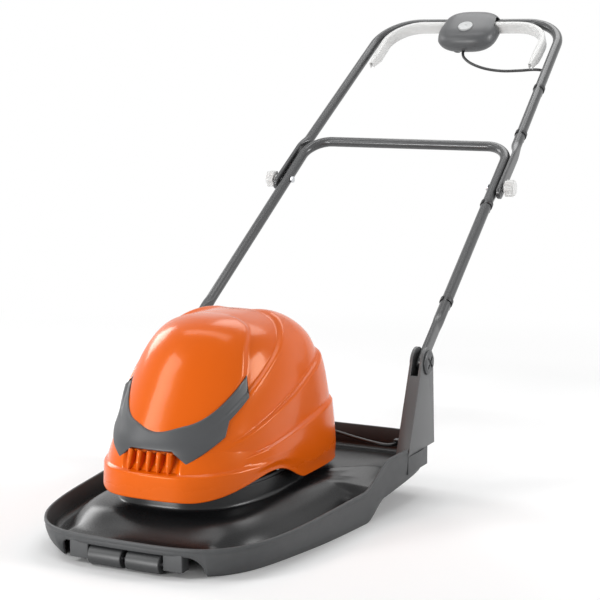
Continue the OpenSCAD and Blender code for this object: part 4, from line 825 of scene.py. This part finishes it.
def recess_depth(p):
    """Depth of the louvre's recess at points p: a shelf that sinks evenly from its front edge to under the visor."""
    rise = np.clip((p[..., 2] - RIB_LOW) / (RIB_HIGH + 3 - RIB_LOW), 0, 1)
    window = ease((RECESS_HALF_W - np.abs(p[..., 0])) / 9)
    return RECESS_DEPTH * rise * window * (p[..., 1] < -120) * ease((RECESS_TOP - p[..., 2]) / 6)


t = (np.arange(COVER_ROWS) / COVER_ROWS)[:, None]
outer = cover_point(spread[None, :], np.broadcast_to(t, (COVER_ROWS, len(spread))))
lining = cover_base(spread[None, :], (np.arange(LINING_ROWS) / LINING_ROWS)[:, None], COVER_WALL)
edge = (outer[:1] + lining[:1]) / 2 - np.array([0, 0, 0.8])
sunk = recess_depth(outer)
outer[..., 1] += sunk
lining[..., 1] += recess_depth(lining)
rows = np.concatenate([lining[::-1], edge, outer])
n, m = rows.shape[:2]
tips = np.array([[0, COVER_MID_Y - 5, COVER_TOP - COVER_WALL], [0, COVER_MID_Y - 5, COVER_TOP]])
parts = [(np.concatenate([rows.reshape(-1, 3), tips]), capped(n, m))]


def tapered_rib(x):
    """A rib on the nose: a rod along the slope whose radius grows from its rounded lower tip, its inner side drawn
    out to reach the recess."""
    a = np.degrees(np.arctan2(x, COVER_FRONT + COVER_MID_Y))
    v = np.linspace(0, 1, 26)
    line = cover_base(np.full_like(v, a), nose_t(np.full_like(v, a), mix(RIB_LOW, RIB_HIGH, v)))
    r = RIB_R * np.sqrt(np.clip(v * 2.4, 0, 1)) * (0.8 + 0.2 * v)
    across = np.tile([1.0, 0, 0], (len(v), 1))
    inward = np.cross(heading(line), across)
    x, y = np.cos(circle(16)), np.sin(circle(16))
    return carried(line, across, inward, r[:, None] * x, r[:, None] * y * np.where(y > 0, RIB_ROOT, 1))


points, groups = joined(parts + [tapered_rib(k * RIB_SPACE) for k in range(-2, 3)])
cover_mesh = make_mesh("cover_shell", points, groups)
value = np.zeros(len(points), np.float32)
value[(LINING_ROWS + 1) * m:n * m] = (sunk / RECESS_DEPTH).ravel()
mark(cover_mesh, "recess", value)
dress("cover_shell", cover_mesh, cover_plastic, "cover_plastic", "deck", "motor_cover")

# %% [markdown]
# ## Front visor
# A slate-grey mask is clipped over the cover's front: a band with a notch for the louvre, swept up into a wing on
# each side. It follows the cover at a constant distance, and its outer face rolls over at every edge.

# %% Visor
VISOR_T, VISOR_SPAN, VISOR_ROLL = 4, 37, 2.4
VISOR_LOW = np.array([(8, 166), (13, 147), (26, 184), (27.5, 206), (VISOR_SPAN, 236)])


def visor_top(d):
    """Height of the visor's upper edge, d degrees off the front: a shallow dip, then an eased climb to the wing."""
    near = 191 + 12 * ease(d / 14)
    return np.where(d < 12, near, mix(200.5, 281, ease((d - 8) / 42) * 1.06))


def visor_low(d):
    """Height of its lower edge: a notch for the louvre, a point, and straight lines up to the wing."""
    return np.interp(d, *VISOR_LOW.T)


columns = np.linspace(-VISOR_SPAN, VISOR_SPAN, 297)[:, None]
v = (0.5 - 0.5 * np.cos(np.linspace(0, np.pi, 30)))[None, :]
d = np.abs(columns)
z = mix(visor_low(d), visor_top(d), v)
at = nose_t(np.broadcast_to(columns, z.shape), z)
border = np.minimum(np.minimum(v, 1 - v) * (visor_top(d) - visor_low(d)), (VISOR_SPAN - d) * 3.5)
roll = VISOR_ROLL - np.sqrt(np.maximum(VISOR_ROLL ** 2 - (VISOR_ROLL - np.minimum(border, VISOR_ROLL)) ** 2, 0))
face = cover_point(np.broadcast_to(columns, z.shape), at, VISOR_T - roll)
back = cover_point(np.broadcast_to(columns, z.shape), at, np.full(z.shape, 0.35))
rings = np.concatenate([face, back[:, ::-1]], axis=1)
n, m = rings.shape[:2]
centres = np.stack([rings[0].mean(0), rings[-1].mean(0)])
visor_mesh = make_mesh("visor_shell", np.concatenate([rings.reshape(-1, 3), centres]), capped(n, m), sharp=60)
dress("visor_shell", visor_mesh, visor_plastic, "visor_plastic", "deck", "front_visor")

# %% [markdown]
# ## Handle frames and sections carried along a path
# Each handle is drawn flat, with x across, s up along the legs and n off its plane, then tilted into place. A tube
# is a section carried along a path: round where it is tube, and pressed flat where it is bolted.

# %% Handle frames
PIVOT_Y, PIVOT_Z, HANDLE_ANGLE, FOLD_LEAN, FOLD_S = 294, 232, 34, 1, 480


def tilt(p, degrees):
    """Turns points about the x axis."""
    c, s = cosd(degrees), sind(degrees)
    return np.asarray(p, float) @ np.array([[1, 0, 0], [0, c, s], [0, -s, c]])


def in_lower(p):
    """Points of the lower handle's plane, tilted about the pivot."""
    return tilt(p, HANDLE_ANGLE) + np.array([0, PIVOT_Y, PIVOT_Z])


def in_upper(p):
    """Points of the upper handle's plane, leaned about the fold bolt and then placed as the lower ones are."""
    fold_point = np.array([0, FOLD_S, 0])
    return in_lower(tilt(np.asarray(p, float) - fold_point, -FOLD_LEAN) + fold_point)


def beside(along):
    """Unit vectors across a path, in the handle's plane."""
    return together(along[:, 1], -along[:, 0], 0)


def flat_sweep(path, half_x, half_n, power):
    """A closed bar along a path in the handle's plane: its section is a superellipse, half_x across the path in the
    plane and half_n off it; a power of 2 is round and a large one is square."""
    ring, e = circle(40), 2 / power[:, None]
    x = half_x[:, None] * signed_power(np.cos(ring), e)
    y = half_n[:, None] * signed_power(np.sin(ring), e)
    return carried(path, beside(heading(path)), np.array([[0, 0, 1.0]]), x, y)


def mirrored(path):
    """A path from the right end to the middle, carried on to the left end."""
    left = path[::-1].copy()
    left[:, 0] *= -1
    return np.concatenate([path, left])


print("fold bolts at", in_lower([0, FOLD_S, 0]).round(1), "mm")

# %% [markdown]
# A leg starts at its bolt with a flattened round end, swells to a tube and runs into a bend. Half the path is worked
# out and then mirrored, so both legs match.

# %% Handle bends
TUBE_R, FLAT_W = 10, 26
CROSS_S, CROSS_X, CROSS_BEND = 608, 217, 50
TOP_S, TOP_X, TOP_BEND = 1058, 206, 88
LEG_LEAN = math.degrees(math.atan((PIVOT_X - CROSS_X) / CROSS_S))
STRAP_OFF = TUBE_R + 1.8 + 4
UPPER_ROUND, LEG_FLAT, LEG_ROUND = 614, 85, 115
UPPER_X = PIVOT_X + STRAP_OFF + 4 - TUBE_R - UPPER_ROUND * tand(LEG_LEAN)
UPPER_LEAN = math.degrees(math.atan((UPPER_X - TOP_X) / (TOP_S - UPPER_ROUND)))


def bend_and_bar(x, s, r, lean, steps=24):
    """From the top of a leaning leg round a bend of radius r to the middle of the bar at s."""
    corner = x - r * tand((90 - lean) / 2)
    arc = np.radians(np.linspace(lean, 90, steps))
    bend = together(corner + r * np.cos(arc), s - r + r * np.sin(arc), 0)
    return np.concatenate([bend, together(np.linspace(corner, corner * 0.02, 12)[1:], s, 0)])


def bar_sections(distance, flat_end, round_from, flat_half):
    """Half sizes and power along a leg: flat to flat_end, round from round_from, with a round end at the bolt."""
    press = 1 - ease((distance - flat_end) / (round_from - flat_end))
    end = np.sqrt(np.clip(1 - (np.minimum(distance, 0) / (FLAT_W / 2)) ** 2, 0.003, 1))
    half_x = mix(TUBE_R, flat_half, press)
    half_n = mix(TUBE_R, FLAT_W / 2, press) * end
    return half_x, half_n, mix(2.0, 5.0, press)


def handle_bar(leg, bend, distance, flat_end, round_from, flat_half):
    """The whole U of one handle from its right leg, its bend and half bar."""
    half_x, half_n, power = bar_sections(distance, flat_end, round_from, flat_half)
    rest = len(bend)
    sizes = [np.concatenate([v, np.full(rest, r)]) for v, r in ((half_x, TUBE_R), (half_n, TUBE_R), (power, 2.0))]
    return flat_sweep(mirrored(np.concatenate([leg, bend])), *(np.concatenate([v, v[::-1]]) for v in sizes))


print("legs lean by", round(LEG_LEAN, 2), "and", round(UPPER_LEAN, 2), "degrees")

# %% [markdown]
# The lower handle's legs are one straight line each, from the pivot to the bend of the cross bar.

# %% Lower handle
end = -FLAT_W / 2 * np.cos(np.linspace(0, np.pi / 2, 14))
bend = bend_and_bar(CROSS_X, CROSS_S, CROSS_BEND, LEG_LEAN)
leg_length = math.hypot(bend[0, 0] - PIVOT_X, bend[0, 1])
distance = np.concatenate([end, np.linspace(0, LEG_FLAT, 14)[1:], np.linspace(LEG_FLAT, LEG_ROUND, 18)[1:],
                           np.linspace(LEG_ROUND, leg_length, 16)[1:-1]])
leg = together(PIVOT_X - distance * sind(LEG_LEAN), distance * cosd(LEG_LEAN), 0)
points, groups = handle_bar(leg, bend, distance, LEG_FLAT, LEG_ROUND, 5)
lower_mesh = make_mesh("lower_tube", in_lower(points), groups)
dress("lower_tube", lower_mesh, tube_paint, "tube", "lower_handle", "lower_handle")

# %% [markdown]
# The upper handle's legs start as flat straps on the outside of the lower legs, and move over to their own line
# while they swell to a tube.

# %% Upper handle
bend = bend_and_bar(TOP_X, TOP_S, TOP_BEND, UPPER_LEAN)
strap_start, strap_flat, strap_round = FOLD_S - 13, 580, UPPER_ROUND + 3
leg_length = math.hypot(bend[0, 0] - UPPER_X, bend[0, 1] - UPPER_ROUND)
flat_run, round_run = strap_flat - strap_start, strap_round - strap_start
distance = np.concatenate([end, np.linspace(0, flat_run, 14)[1:], np.linspace(flat_run, round_run, 18)[1:]])
s = distance + strap_start
strap = together(PIVOT_X + STRAP_OFF - s * sind(LEG_LEAN), s, 0)
shift = ease((s - strap_flat) / (strap_round - strap_flat))
strap[:, 0] = mix(strap[:, 0], UPPER_X - (strap[:, 1] - UPPER_ROUND) * tand(UPPER_LEAN), shift)
up = np.linspace(4, leg_length, 16)[1:-1]
tube_leg = together(UPPER_X - up * sind(UPPER_LEAN), UPPER_ROUND + up * cosd(UPPER_LEAN), 0)
distance = np.concatenate([distance, round_run + up])
points, groups = handle_bar(np.concatenate([strap, tube_leg]), bend, distance, flat_run, round_run, 4)
upper_mesh = make_mesh("upper_tube", in_upper(points), groups)
dress("upper_tube", upper_mesh, tube_paint, "tube", "upper_handle", "upper_handle")

# %% [markdown]
# ## Switch box
# Two hollow halves of a rounded pebble clamp the top bar. Height and outline of a half are superellipses, so both
# meet in one line.

# %% Box halves
BOX_W, BOX_L, BOX_UP, BOX_DOWN, BOX_WALL = 136, 122, 27, 30, 2.5
BOX_CORNER = 3.0
BOX_S, LEVER_S, BUTTON_S, BUTTON_D = TOP_S - 34, TOP_S - 21.5, TOP_S - 52, 33
BOX_COLUMNS = 120


def box_skin(h, inset, rise, top):
    """Rows of one skin of a half from its rim to the given share of its height."""
    u = rise * np.sin(np.linspace(0, np.pi / 2, 30))[:, None]
    e = 3.6 if top > 0 else 2.6
    k = np.maximum(1 - u ** e, 0) ** (1 / e) * (1 - 0.1 * u)
    phi = np.arange(BOX_COLUMNS) / BOX_COLUMNS * 360
    x = (BOX_W / 2 - inset) * k * signed_power(cosd(phi), 2 / BOX_CORNER)[None, :]
    s = BOX_S + (BOX_L / 2 - inset) * k * signed_power(sind(phi), 2 / BOX_CORNER)[None, :]
    return together(x, s, top * h * u)


def box_half(top):
    """Closed shell of the upper (top 1) or lower (top -1) half."""
    h = BOX_UP if top > 0 else BOX_DOWN
    skin = np.concatenate([box_skin(h, BOX_WALL, (h - BOX_WALL) / h, top)[::-1], box_skin(h, 0, 0.9995, top)])
    points = np.concatenate([skin.reshape(-1, 3), [skin[0].mean(0), skin[-1].mean(0)]])
    return points, capped(*skin.shape[:2])


print("switch box", BOX_W, "x", BOX_L, "x", BOX_UP + BOX_DOWN, "mm")

# %% [markdown]
# The bar, the lever, the button and the mains lead need real openings, so those are cut with Boolean modifiers. The
# sleeve round the mains lead's bore is joined on first.

# %% Switch box


def rod(a, b, r, sides=64):
    """Points and faces of a round bar from a to b."""
    line = np.array([a, b], float)
    along = heading(line)
    side = np.cross(along, [0, 0, 1.0] if abs(along[0, 2]) < 0.9 else [0, 1.0, 0])
    side /= np.linalg.norm(side, axis=1)[:, None]
    x, y = r * np.cos(circle(sides))[None], r * np.sin(circle(sides))[None]
    return carried(line, side, np.cross(along, side), x, y)


def cut(mesh, cutters, added=()):
    """The mesh with the solids of added joined on and those of cutters taken away."""
    body = bpy.data.objects.new("cut_body", mesh)
    bpy.context.scene.collection.objects.link(body)
    tools = []
    for k, (points, groups) in enumerate(list(added) + cutters):
        tool = bpy.data.objects.new("cut_tool", make_mesh("cut_tool", points, groups))
        bpy.context.scene.collection.objects.link(tool)
        step = body.modifiers.new(f"cut_{k}", "BOOLEAN")
        step.operation, step.solver, step.object = "UNION" if k < len(added) else "DIFFERENCE", "EXACT", tool
        tools.append(tool)
    made = bpy.data.meshes.new_from_object(body.evaluated_get(bpy.context.evaluated_depsgraph_get()))
    for thing in [body] + tools:
        bpy.data.objects.remove(thing)
    return made


LEVER_T, LEVER_DEPTH, LEVER_N = 13, 24, 4
openings = [rod((-BOX_W, TOP_S, 0), (BOX_W, TOP_S, 0), TUBE_R)]
for side in (-1, 1):
    low = (side * BOX_W / 2 - 14, LEVER_S - LEVER_T / 2 - 8, LEVER_N - LEVER_DEPTH / 2 - 4)
    openings.append(round_box(low, (low[0] + 28, TOP_S + 1, LEVER_N + LEVER_DEPTH / 2 + 3), 2))
button_hole = rod((0, BUTTON_S, 8), (0, BUTTON_S, 48), BUTTON_D / 2 + 0.2)
openings = [(in_upper(p), f) for p, f in openings]
INLET_TILT, SLEEVE_RUN, BORE_RUN = 40, (14, 28, 7), (-1, 30, 4.5)
mouth, way = np.array([-18, BOX_S - 60, -28]), np.array([0, cosd(INLET_TILT), sind(INLET_TILT)])
sleeve, bore = (rod(mouth + way * start, mouth + way * stop, r) for start, stop, r in (SLEEVE_RUN, BORE_RUN))
for top, name, node in ((1, "box_top_shell", "switch_box_top"), (-1, "box_bottom_shell", "switch_box_bottom")):
    points, groups = box_half(top)
    own = button_hole if top > 0 else bore
    added = [] if top > 0 else [(in_upper(sleeve[0]), sleeve[1])]
    mesh = cut(make_mesh(name, in_upper(points), groups), openings + [(in_upper(own[0]), own[1])], added)
    finish_mesh(mesh, sharp=40)
    mesh.name = name
    dress(name, mesh, box_plastic, "visor_plastic", "upper_handle", node)

# %% [markdown]
# ## Lock button
# The pale button is a turned cap with a slightly hollow top, so that the thumb finds it. Its section is carried
# round the button's own middle line, and its skirt reaches down into the box.

# %% Lock button
button_r, button_top = BUTTON_D / 2 - 0.5, BOX_UP + 2.2
cap = np.array([[0.01, button_top - 0.8], [button_r * 0.6, button_top - 0.4], [button_r, button_top],
                [button_r, button_top - 13], [button_r - 2, button_top - 13], [button_r - 2, button_top - 3.5],
                [0.01, button_top - 3.5]])
cap = rounded(cap[None], [0.005, 5, 1.6, 0.4, 0.4, 0.6, 0.005], [2, 5, 7, 3, 3, 3, 2])[0]
x, s, faces = turned(cap[:, 0], 96)
points = together(x, BUTTON_S + s, cap[:, 1]).reshape(-1, 3)
button_mesh = make_mesh("lock_button_cap", in_upper(points), faces, sharp=50)
dress("lock_button_cap", button_mesh, pale_plastic, "pale_plastic", "lock_button", "lock_button")

# %% [markdown]
# ## Bail lever
# The white lever is a channel that follows the inside of the top bar and turns down beside both legs. Its section
# is an open channel with soft edges, carried along the path. Inside the box two arms join it to its axle.

# %% Lever
LEVER_BEND, LEVER_X, LEVER_END, LEVER_WALL = 72, TOP_X - 26, TOP_S - 178, 2
AXLE_HALF, AXLE_N, AXLE_R = 34, -19, 3


def lever_path():
    """From the right end up, round the bend and to the middle."""
    arc, mid_x, mid_s = np.radians(np.linspace(0, 90, 30)), LEVER_X - LEVER_BEND, LEVER_S - LEVER_BEND
    up = together(LEVER_X, np.linspace(LEVER_END, mid_s, 12)[:-1], 0)
    bend = together(mid_x + LEVER_BEND * np.cos(arc), mid_s + LEVER_BEND * np.sin(arc), 0)
    return np.concatenate([up, bend, together(np.linspace(mid_x, 2, 14)[1:], LEVER_S, 0)])


half_t, half_d = LEVER_T / 2, LEVER_DEPTH / 2
channel = np.array([[[-half_t, -half_d], [-half_t, half_d], [half_t, half_d], [half_t, -half_d],
                     [half_t - LEVER_WALL, -half_d], [half_t - LEVER_WALL, half_d - LEVER_WALL],
                     [-half_t + LEVER_WALL, half_d - LEVER_WALL], [-half_t + LEVER_WALL, -half_d]]], float)
channel = rounded(channel, [0.8, 4.5, 4.5, 0.8, 0.8, 2, 2, 0.8], [3, 7, 7, 3, 3, 4, 4, 3])[0]
path = mirrored(lever_path())
across = beside(heading(path))
taper = np.minimum(np.arange(len(path)), np.arange(len(path))[::-1])
close = mix(0.62, 1.0, ease(taper / 6.0))[:, None]
bar = path[:, None] + (channel[None, :, 0] * close)[..., None] * across[:, None]
bar[..., 2] = LEVER_N + half_d + (channel[None, :, 1] - half_d) * close
n, m = bar.shape[:2]
caps = [np.arange(m)[None, ::-1], (np.arange(m) + (n - 1) * m)[None]]
axle = rod((-AXLE_HALF, LEVER_S, AXLE_N), (AXLE_HALF, LEVER_S, AXLE_N), AXLE_R, 32)
parts = [(bar.reshape(-1, 3), [quads(n, m)] + caps), axle]
for side in (-1, 1):
    x = sorted((side * 16, side * 22))
    parts.append(round_box((x[0], LEVER_S - 2.5, AXLE_N), (x[1], LEVER_S + 2.5, 15), 0.8, 6))
points, groups = joined(parts)
lever_mesh = make_mesh("bail_lever", in_upper(points), groups, sharp=50)
dress("bail_lever", lever_mesh, white_plastic, "white_plastic", "switch_lever", "switch_lever")

# %% [markdown]
# ## Motor lead
# One black lead runs from the switch box down the right leg and into the cover. The solids hold it in five lengths,
# so that those at the two joints can bend. The points of their routes are given in the handles' planes or, for the
# last two, in the frame. Along a leg the lead lies straight under the tube.

# %% Lead routes
LEAD_D, LEAD_DROP = 6, 13.2
LOOP = [[0, 978, -14], [0, 963, -14.4], [9, 946, -16], [32, 926, -17], [68, 908, -17], [108, 900, -17],
        [146, 902, -17], [178, 906, -17], [200, 900, -16], [211.5, 882, -14.8], [214.5, 856, -13.8]]
FOLD_STRETCH = [[223, 556, -17.5], [221.5, 520, -18], [221, 485, -18], [221.4, 462, -15.8], [222, 440, -13.4]]
PIVOT_STRETCH = [[228, 380, 268], [221, 362, 240], [217, 342, 206], [216, 320, 162], [215, 302, 130]]
DECK_ROUTE = [[215, 302, 130], [215, 284, 112], [215, 264, 103], [215, 240, 99], [211, 224, 98.5], [200, 216, 99],
              [180, 215, 101], [150, 219, 104], [120, 226, 107], [92, 232, 110], [70, 231, 112], [57, 222, 113.5],
              [52, 208, 114], [52, 186, 114]]


def upper_leg(s):
    """Where the lead lies under the upper leg, s up its plane."""
    return [UPPER_X - (s - UPPER_ROUND) * tand(UPPER_LEAN), s, -LEAD_DROP]


def lower_leg(s):
    """Where the lead lies under the lower leg, s up its plane."""
    return [PIVOT_X - s * tand(LEG_LEAN), s, -LEAD_DROP]


on_upper = LOOP + [upper_leg(s) for s in range(820, 600, -40)]
on_upper += [[upper_leg(596)[0] - 3, 585, -15.5], FOLD_STRETCH[0]]
on_lower = [FOLD_STRETCH[-1]] + [lower_leg(s) for s in range(412, 111, -60)]
at_fold = np.concatenate([in_upper(FOLD_STRETCH[:1]), in_lower(FOLD_STRETCH[1:])])
at_pivot = np.concatenate([in_lower([lower_leg(112)]), PIVOT_STRETCH])
print("lead routes:", [len(route) for route in (on_upper, at_fold, on_lower, at_pivot, DECK_ROUTE)], "points")

# %% [markdown]
# Each length is a round section carried along a smooth curve through its route. The two at the joints run from one
# body's plane to the next and ride on no body.

# %% Motor lead


def smooth_route(points, steps=8):
    """Catmull-Rom curve through the points."""
    p = np.asarray(points, float)
    p = np.concatenate([[2 * p[0] - p[1]], p, [2 * p[-1] - p[-2]]])
    f = (np.arange(steps) / steps)[None, :, None]
    curve = catmull(*(p[k:len(p) - 3 + k, None] for k in range(4)), f)
    return np.concatenate([curve.reshape(-1, 3), [p[-2]]])


def lead(name, route, *stands_for, body=None):
    """A round lead along a route; one fixed direction keeps its rings from twisting."""
    line = smooth_route(route)
    along = heading(line)
    side = np.cross(along, [0.05, 0.1, 1.0])
    side /= np.linalg.norm(side, axis=1)[:, None]
    x, y = LEAD_D / 2 * np.cos(circle(18))[None], LEAD_D / 2 * np.sin(circle(18))[None]
    mesh = make_mesh(name, *carried(line, side, np.cross(along, side), x, y), sharp=60)
    return dress(name, mesh, lead_rubber, "rubber", body, *stands_for), line * MM


upper_lead, upper_line = lead("lead_on_upper", in_upper(on_upper), "lead_upper", body="upper_handle")
fold_lead, fold_line = lead("lead_at_fold", at_fold, "lead_fold")
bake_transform(fold_lead)
lead("lead_on_lower", in_lower(on_lower), "lead_lower", body="lower_handle")
pivot_lead, pivot_line = lead("lead_at_pivot", at_pivot, "lead_pivot")
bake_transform(pivot_lead)
deck_lead, deck_line = lead("lead_on_deck", DECK_ROUTE, "lead_deck", body="deck")

# %% [markdown]
# ## Rollers
# The two rollers are turned: one section, a rectangle from the bore to the rim with soft corners, is carried round
# the axle. A box round the solid gives its place.

# %% Rollers
ROLLER_BORE_R = 4.4


def turned_roller(node):
    """A ring about the x axis with the solid's length and radius."""
    low, high = (np.array(corner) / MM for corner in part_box(node))
    r, y, z = (high[2] - low[2]) / 2, (low[1] + high[1]) / 2, (low[2] + high[2]) / 2
    section = np.array([[[low[0], ROLLER_BORE_R], [low[0], r], [high[0], r], [high[0], ROLLER_BORE_R]]])
    section = rounded(section, [0.5, 2.2, 2.2, 0.5], [3, 7, 7, 3])[0]
    back, up, faces = turned(section[:, 1], 72)
    points = together(section[:, 0], y + back, z + up).reshape(-1, 3)
    mesh = make_mesh(node + "_turned", points, faces, sharp=40)
    dress(node + "_turned", mesh, roller_plastic, "roller_plastic", node, node)


turned_roller("roller_left")
turned_roller("roller_right")

# %% [markdown]
# ## Rounded edges on the turned and moulded pieces
# Brackets, knobs, clips and bolts already have the right shape, but a moulded edge is never knife sharp. A copy of
# the solid's mesh is merged, its flat faces are joined up again, and its sharp edges get a small round.

# %% Softened pieces
SHARP_EDGE = 32


def softened(node, width, finish, slot, body):
    """A copy of a CAD node with its sharp edges rounded by width millimetres."""
    bm = bmesh.new()
    bm.from_mesh(nodes[node].data)
    bmesh.ops.remove_doubles(bm, verts=bm.verts, dist=2e-6)
    bmesh.ops.dissolve_limit(bm, angle_limit=math.radians(0.6), verts=bm.verts, edges=bm.edges)
    edges = [e for e in bm.edges if e.is_manifold and e.calc_face_angle() > math.radians(SHARP_EDGE)]
    bmesh.ops.bevel(bm, geom=edges, offset=width * MM, segments=3, profile=0.5, affect="EDGES", clamp_overlap=True)
    bmesh.ops.triangulate(bm, faces=[f for f in bm.faces if len(f.verts) > 4])
    mesh = bpy.data.meshes.new(node + "_soft")
    bm.to_mesh(mesh)
    bm.free()
    finish_mesh(mesh, sharp=35)
    dress(node + "_soft", mesh, finish, slot, body, node)


SOFT = [("bracket_left", 1.2, bracket_plastic, "hood_plastic", "deck"),
        ("bracket_right", 1.2, bracket_plastic, "hood_plastic", "deck"),
        ("pivot_bolts", 0.5, visor_plastic, "visor_plastic", "deck"),
        ("knob_left", 1.2, white_plastic, "white_plastic", "knob_left"),
        ("knob_right", 1.2, white_plastic, "white_plastic", "knob_right"),
        ("lower_clips", 0.4, black_plastic, "black_plastic", "lower_handle"),
        ("upper_clips", 0.4, black_plastic, "black_plastic", "upper_handle"),
        ("deck_clip", 0.6, black_plastic, "black_plastic", "deck"),
        ("lead_grommet", 0.6, lead_rubber, "rubber", "deck")]
for row in SOFT:
    softened(*row)

# %% [markdown]
# ## Finishes on the pieces that stay as they are
# The blade, the drive and the motor inside the cover keep their solids and take a finish by what they are made of.

# %% Finishes inside
KEPT = {
    plated_steel: "cover_screws deck_screws spindle_bearings spindle spindle_nut blade blade_bolt motor_bearings "
                  "motor_bolts motor_shaft motor_pulley roller_axle bracket_screws pivot_nuts fold_bolts box_screws "
                  "lever_spring button_spring",
    cast_aluminium: "motor_lower_bell motor_upper_bell",
    iron: "motor_stator armature",
    copper: "field_coils commutator",
    carbon: "carbon_brushes",
    belt_rubber: "drive_belt",
    black_plastic: "spindle_pulley impeller brush_holders motor_fan switch_unit",
    pale_plastic: "blade_spacers",
    visor_plastic: "deck_plate"}
for finish, names in KEPT.items():
    for name in names.split():
        data = nodes[name].data
        data.materials.clear()
        data.materials.append(finish.material)
print("kept solids:", sum(len(names.split()) for names in KEPT.values()))
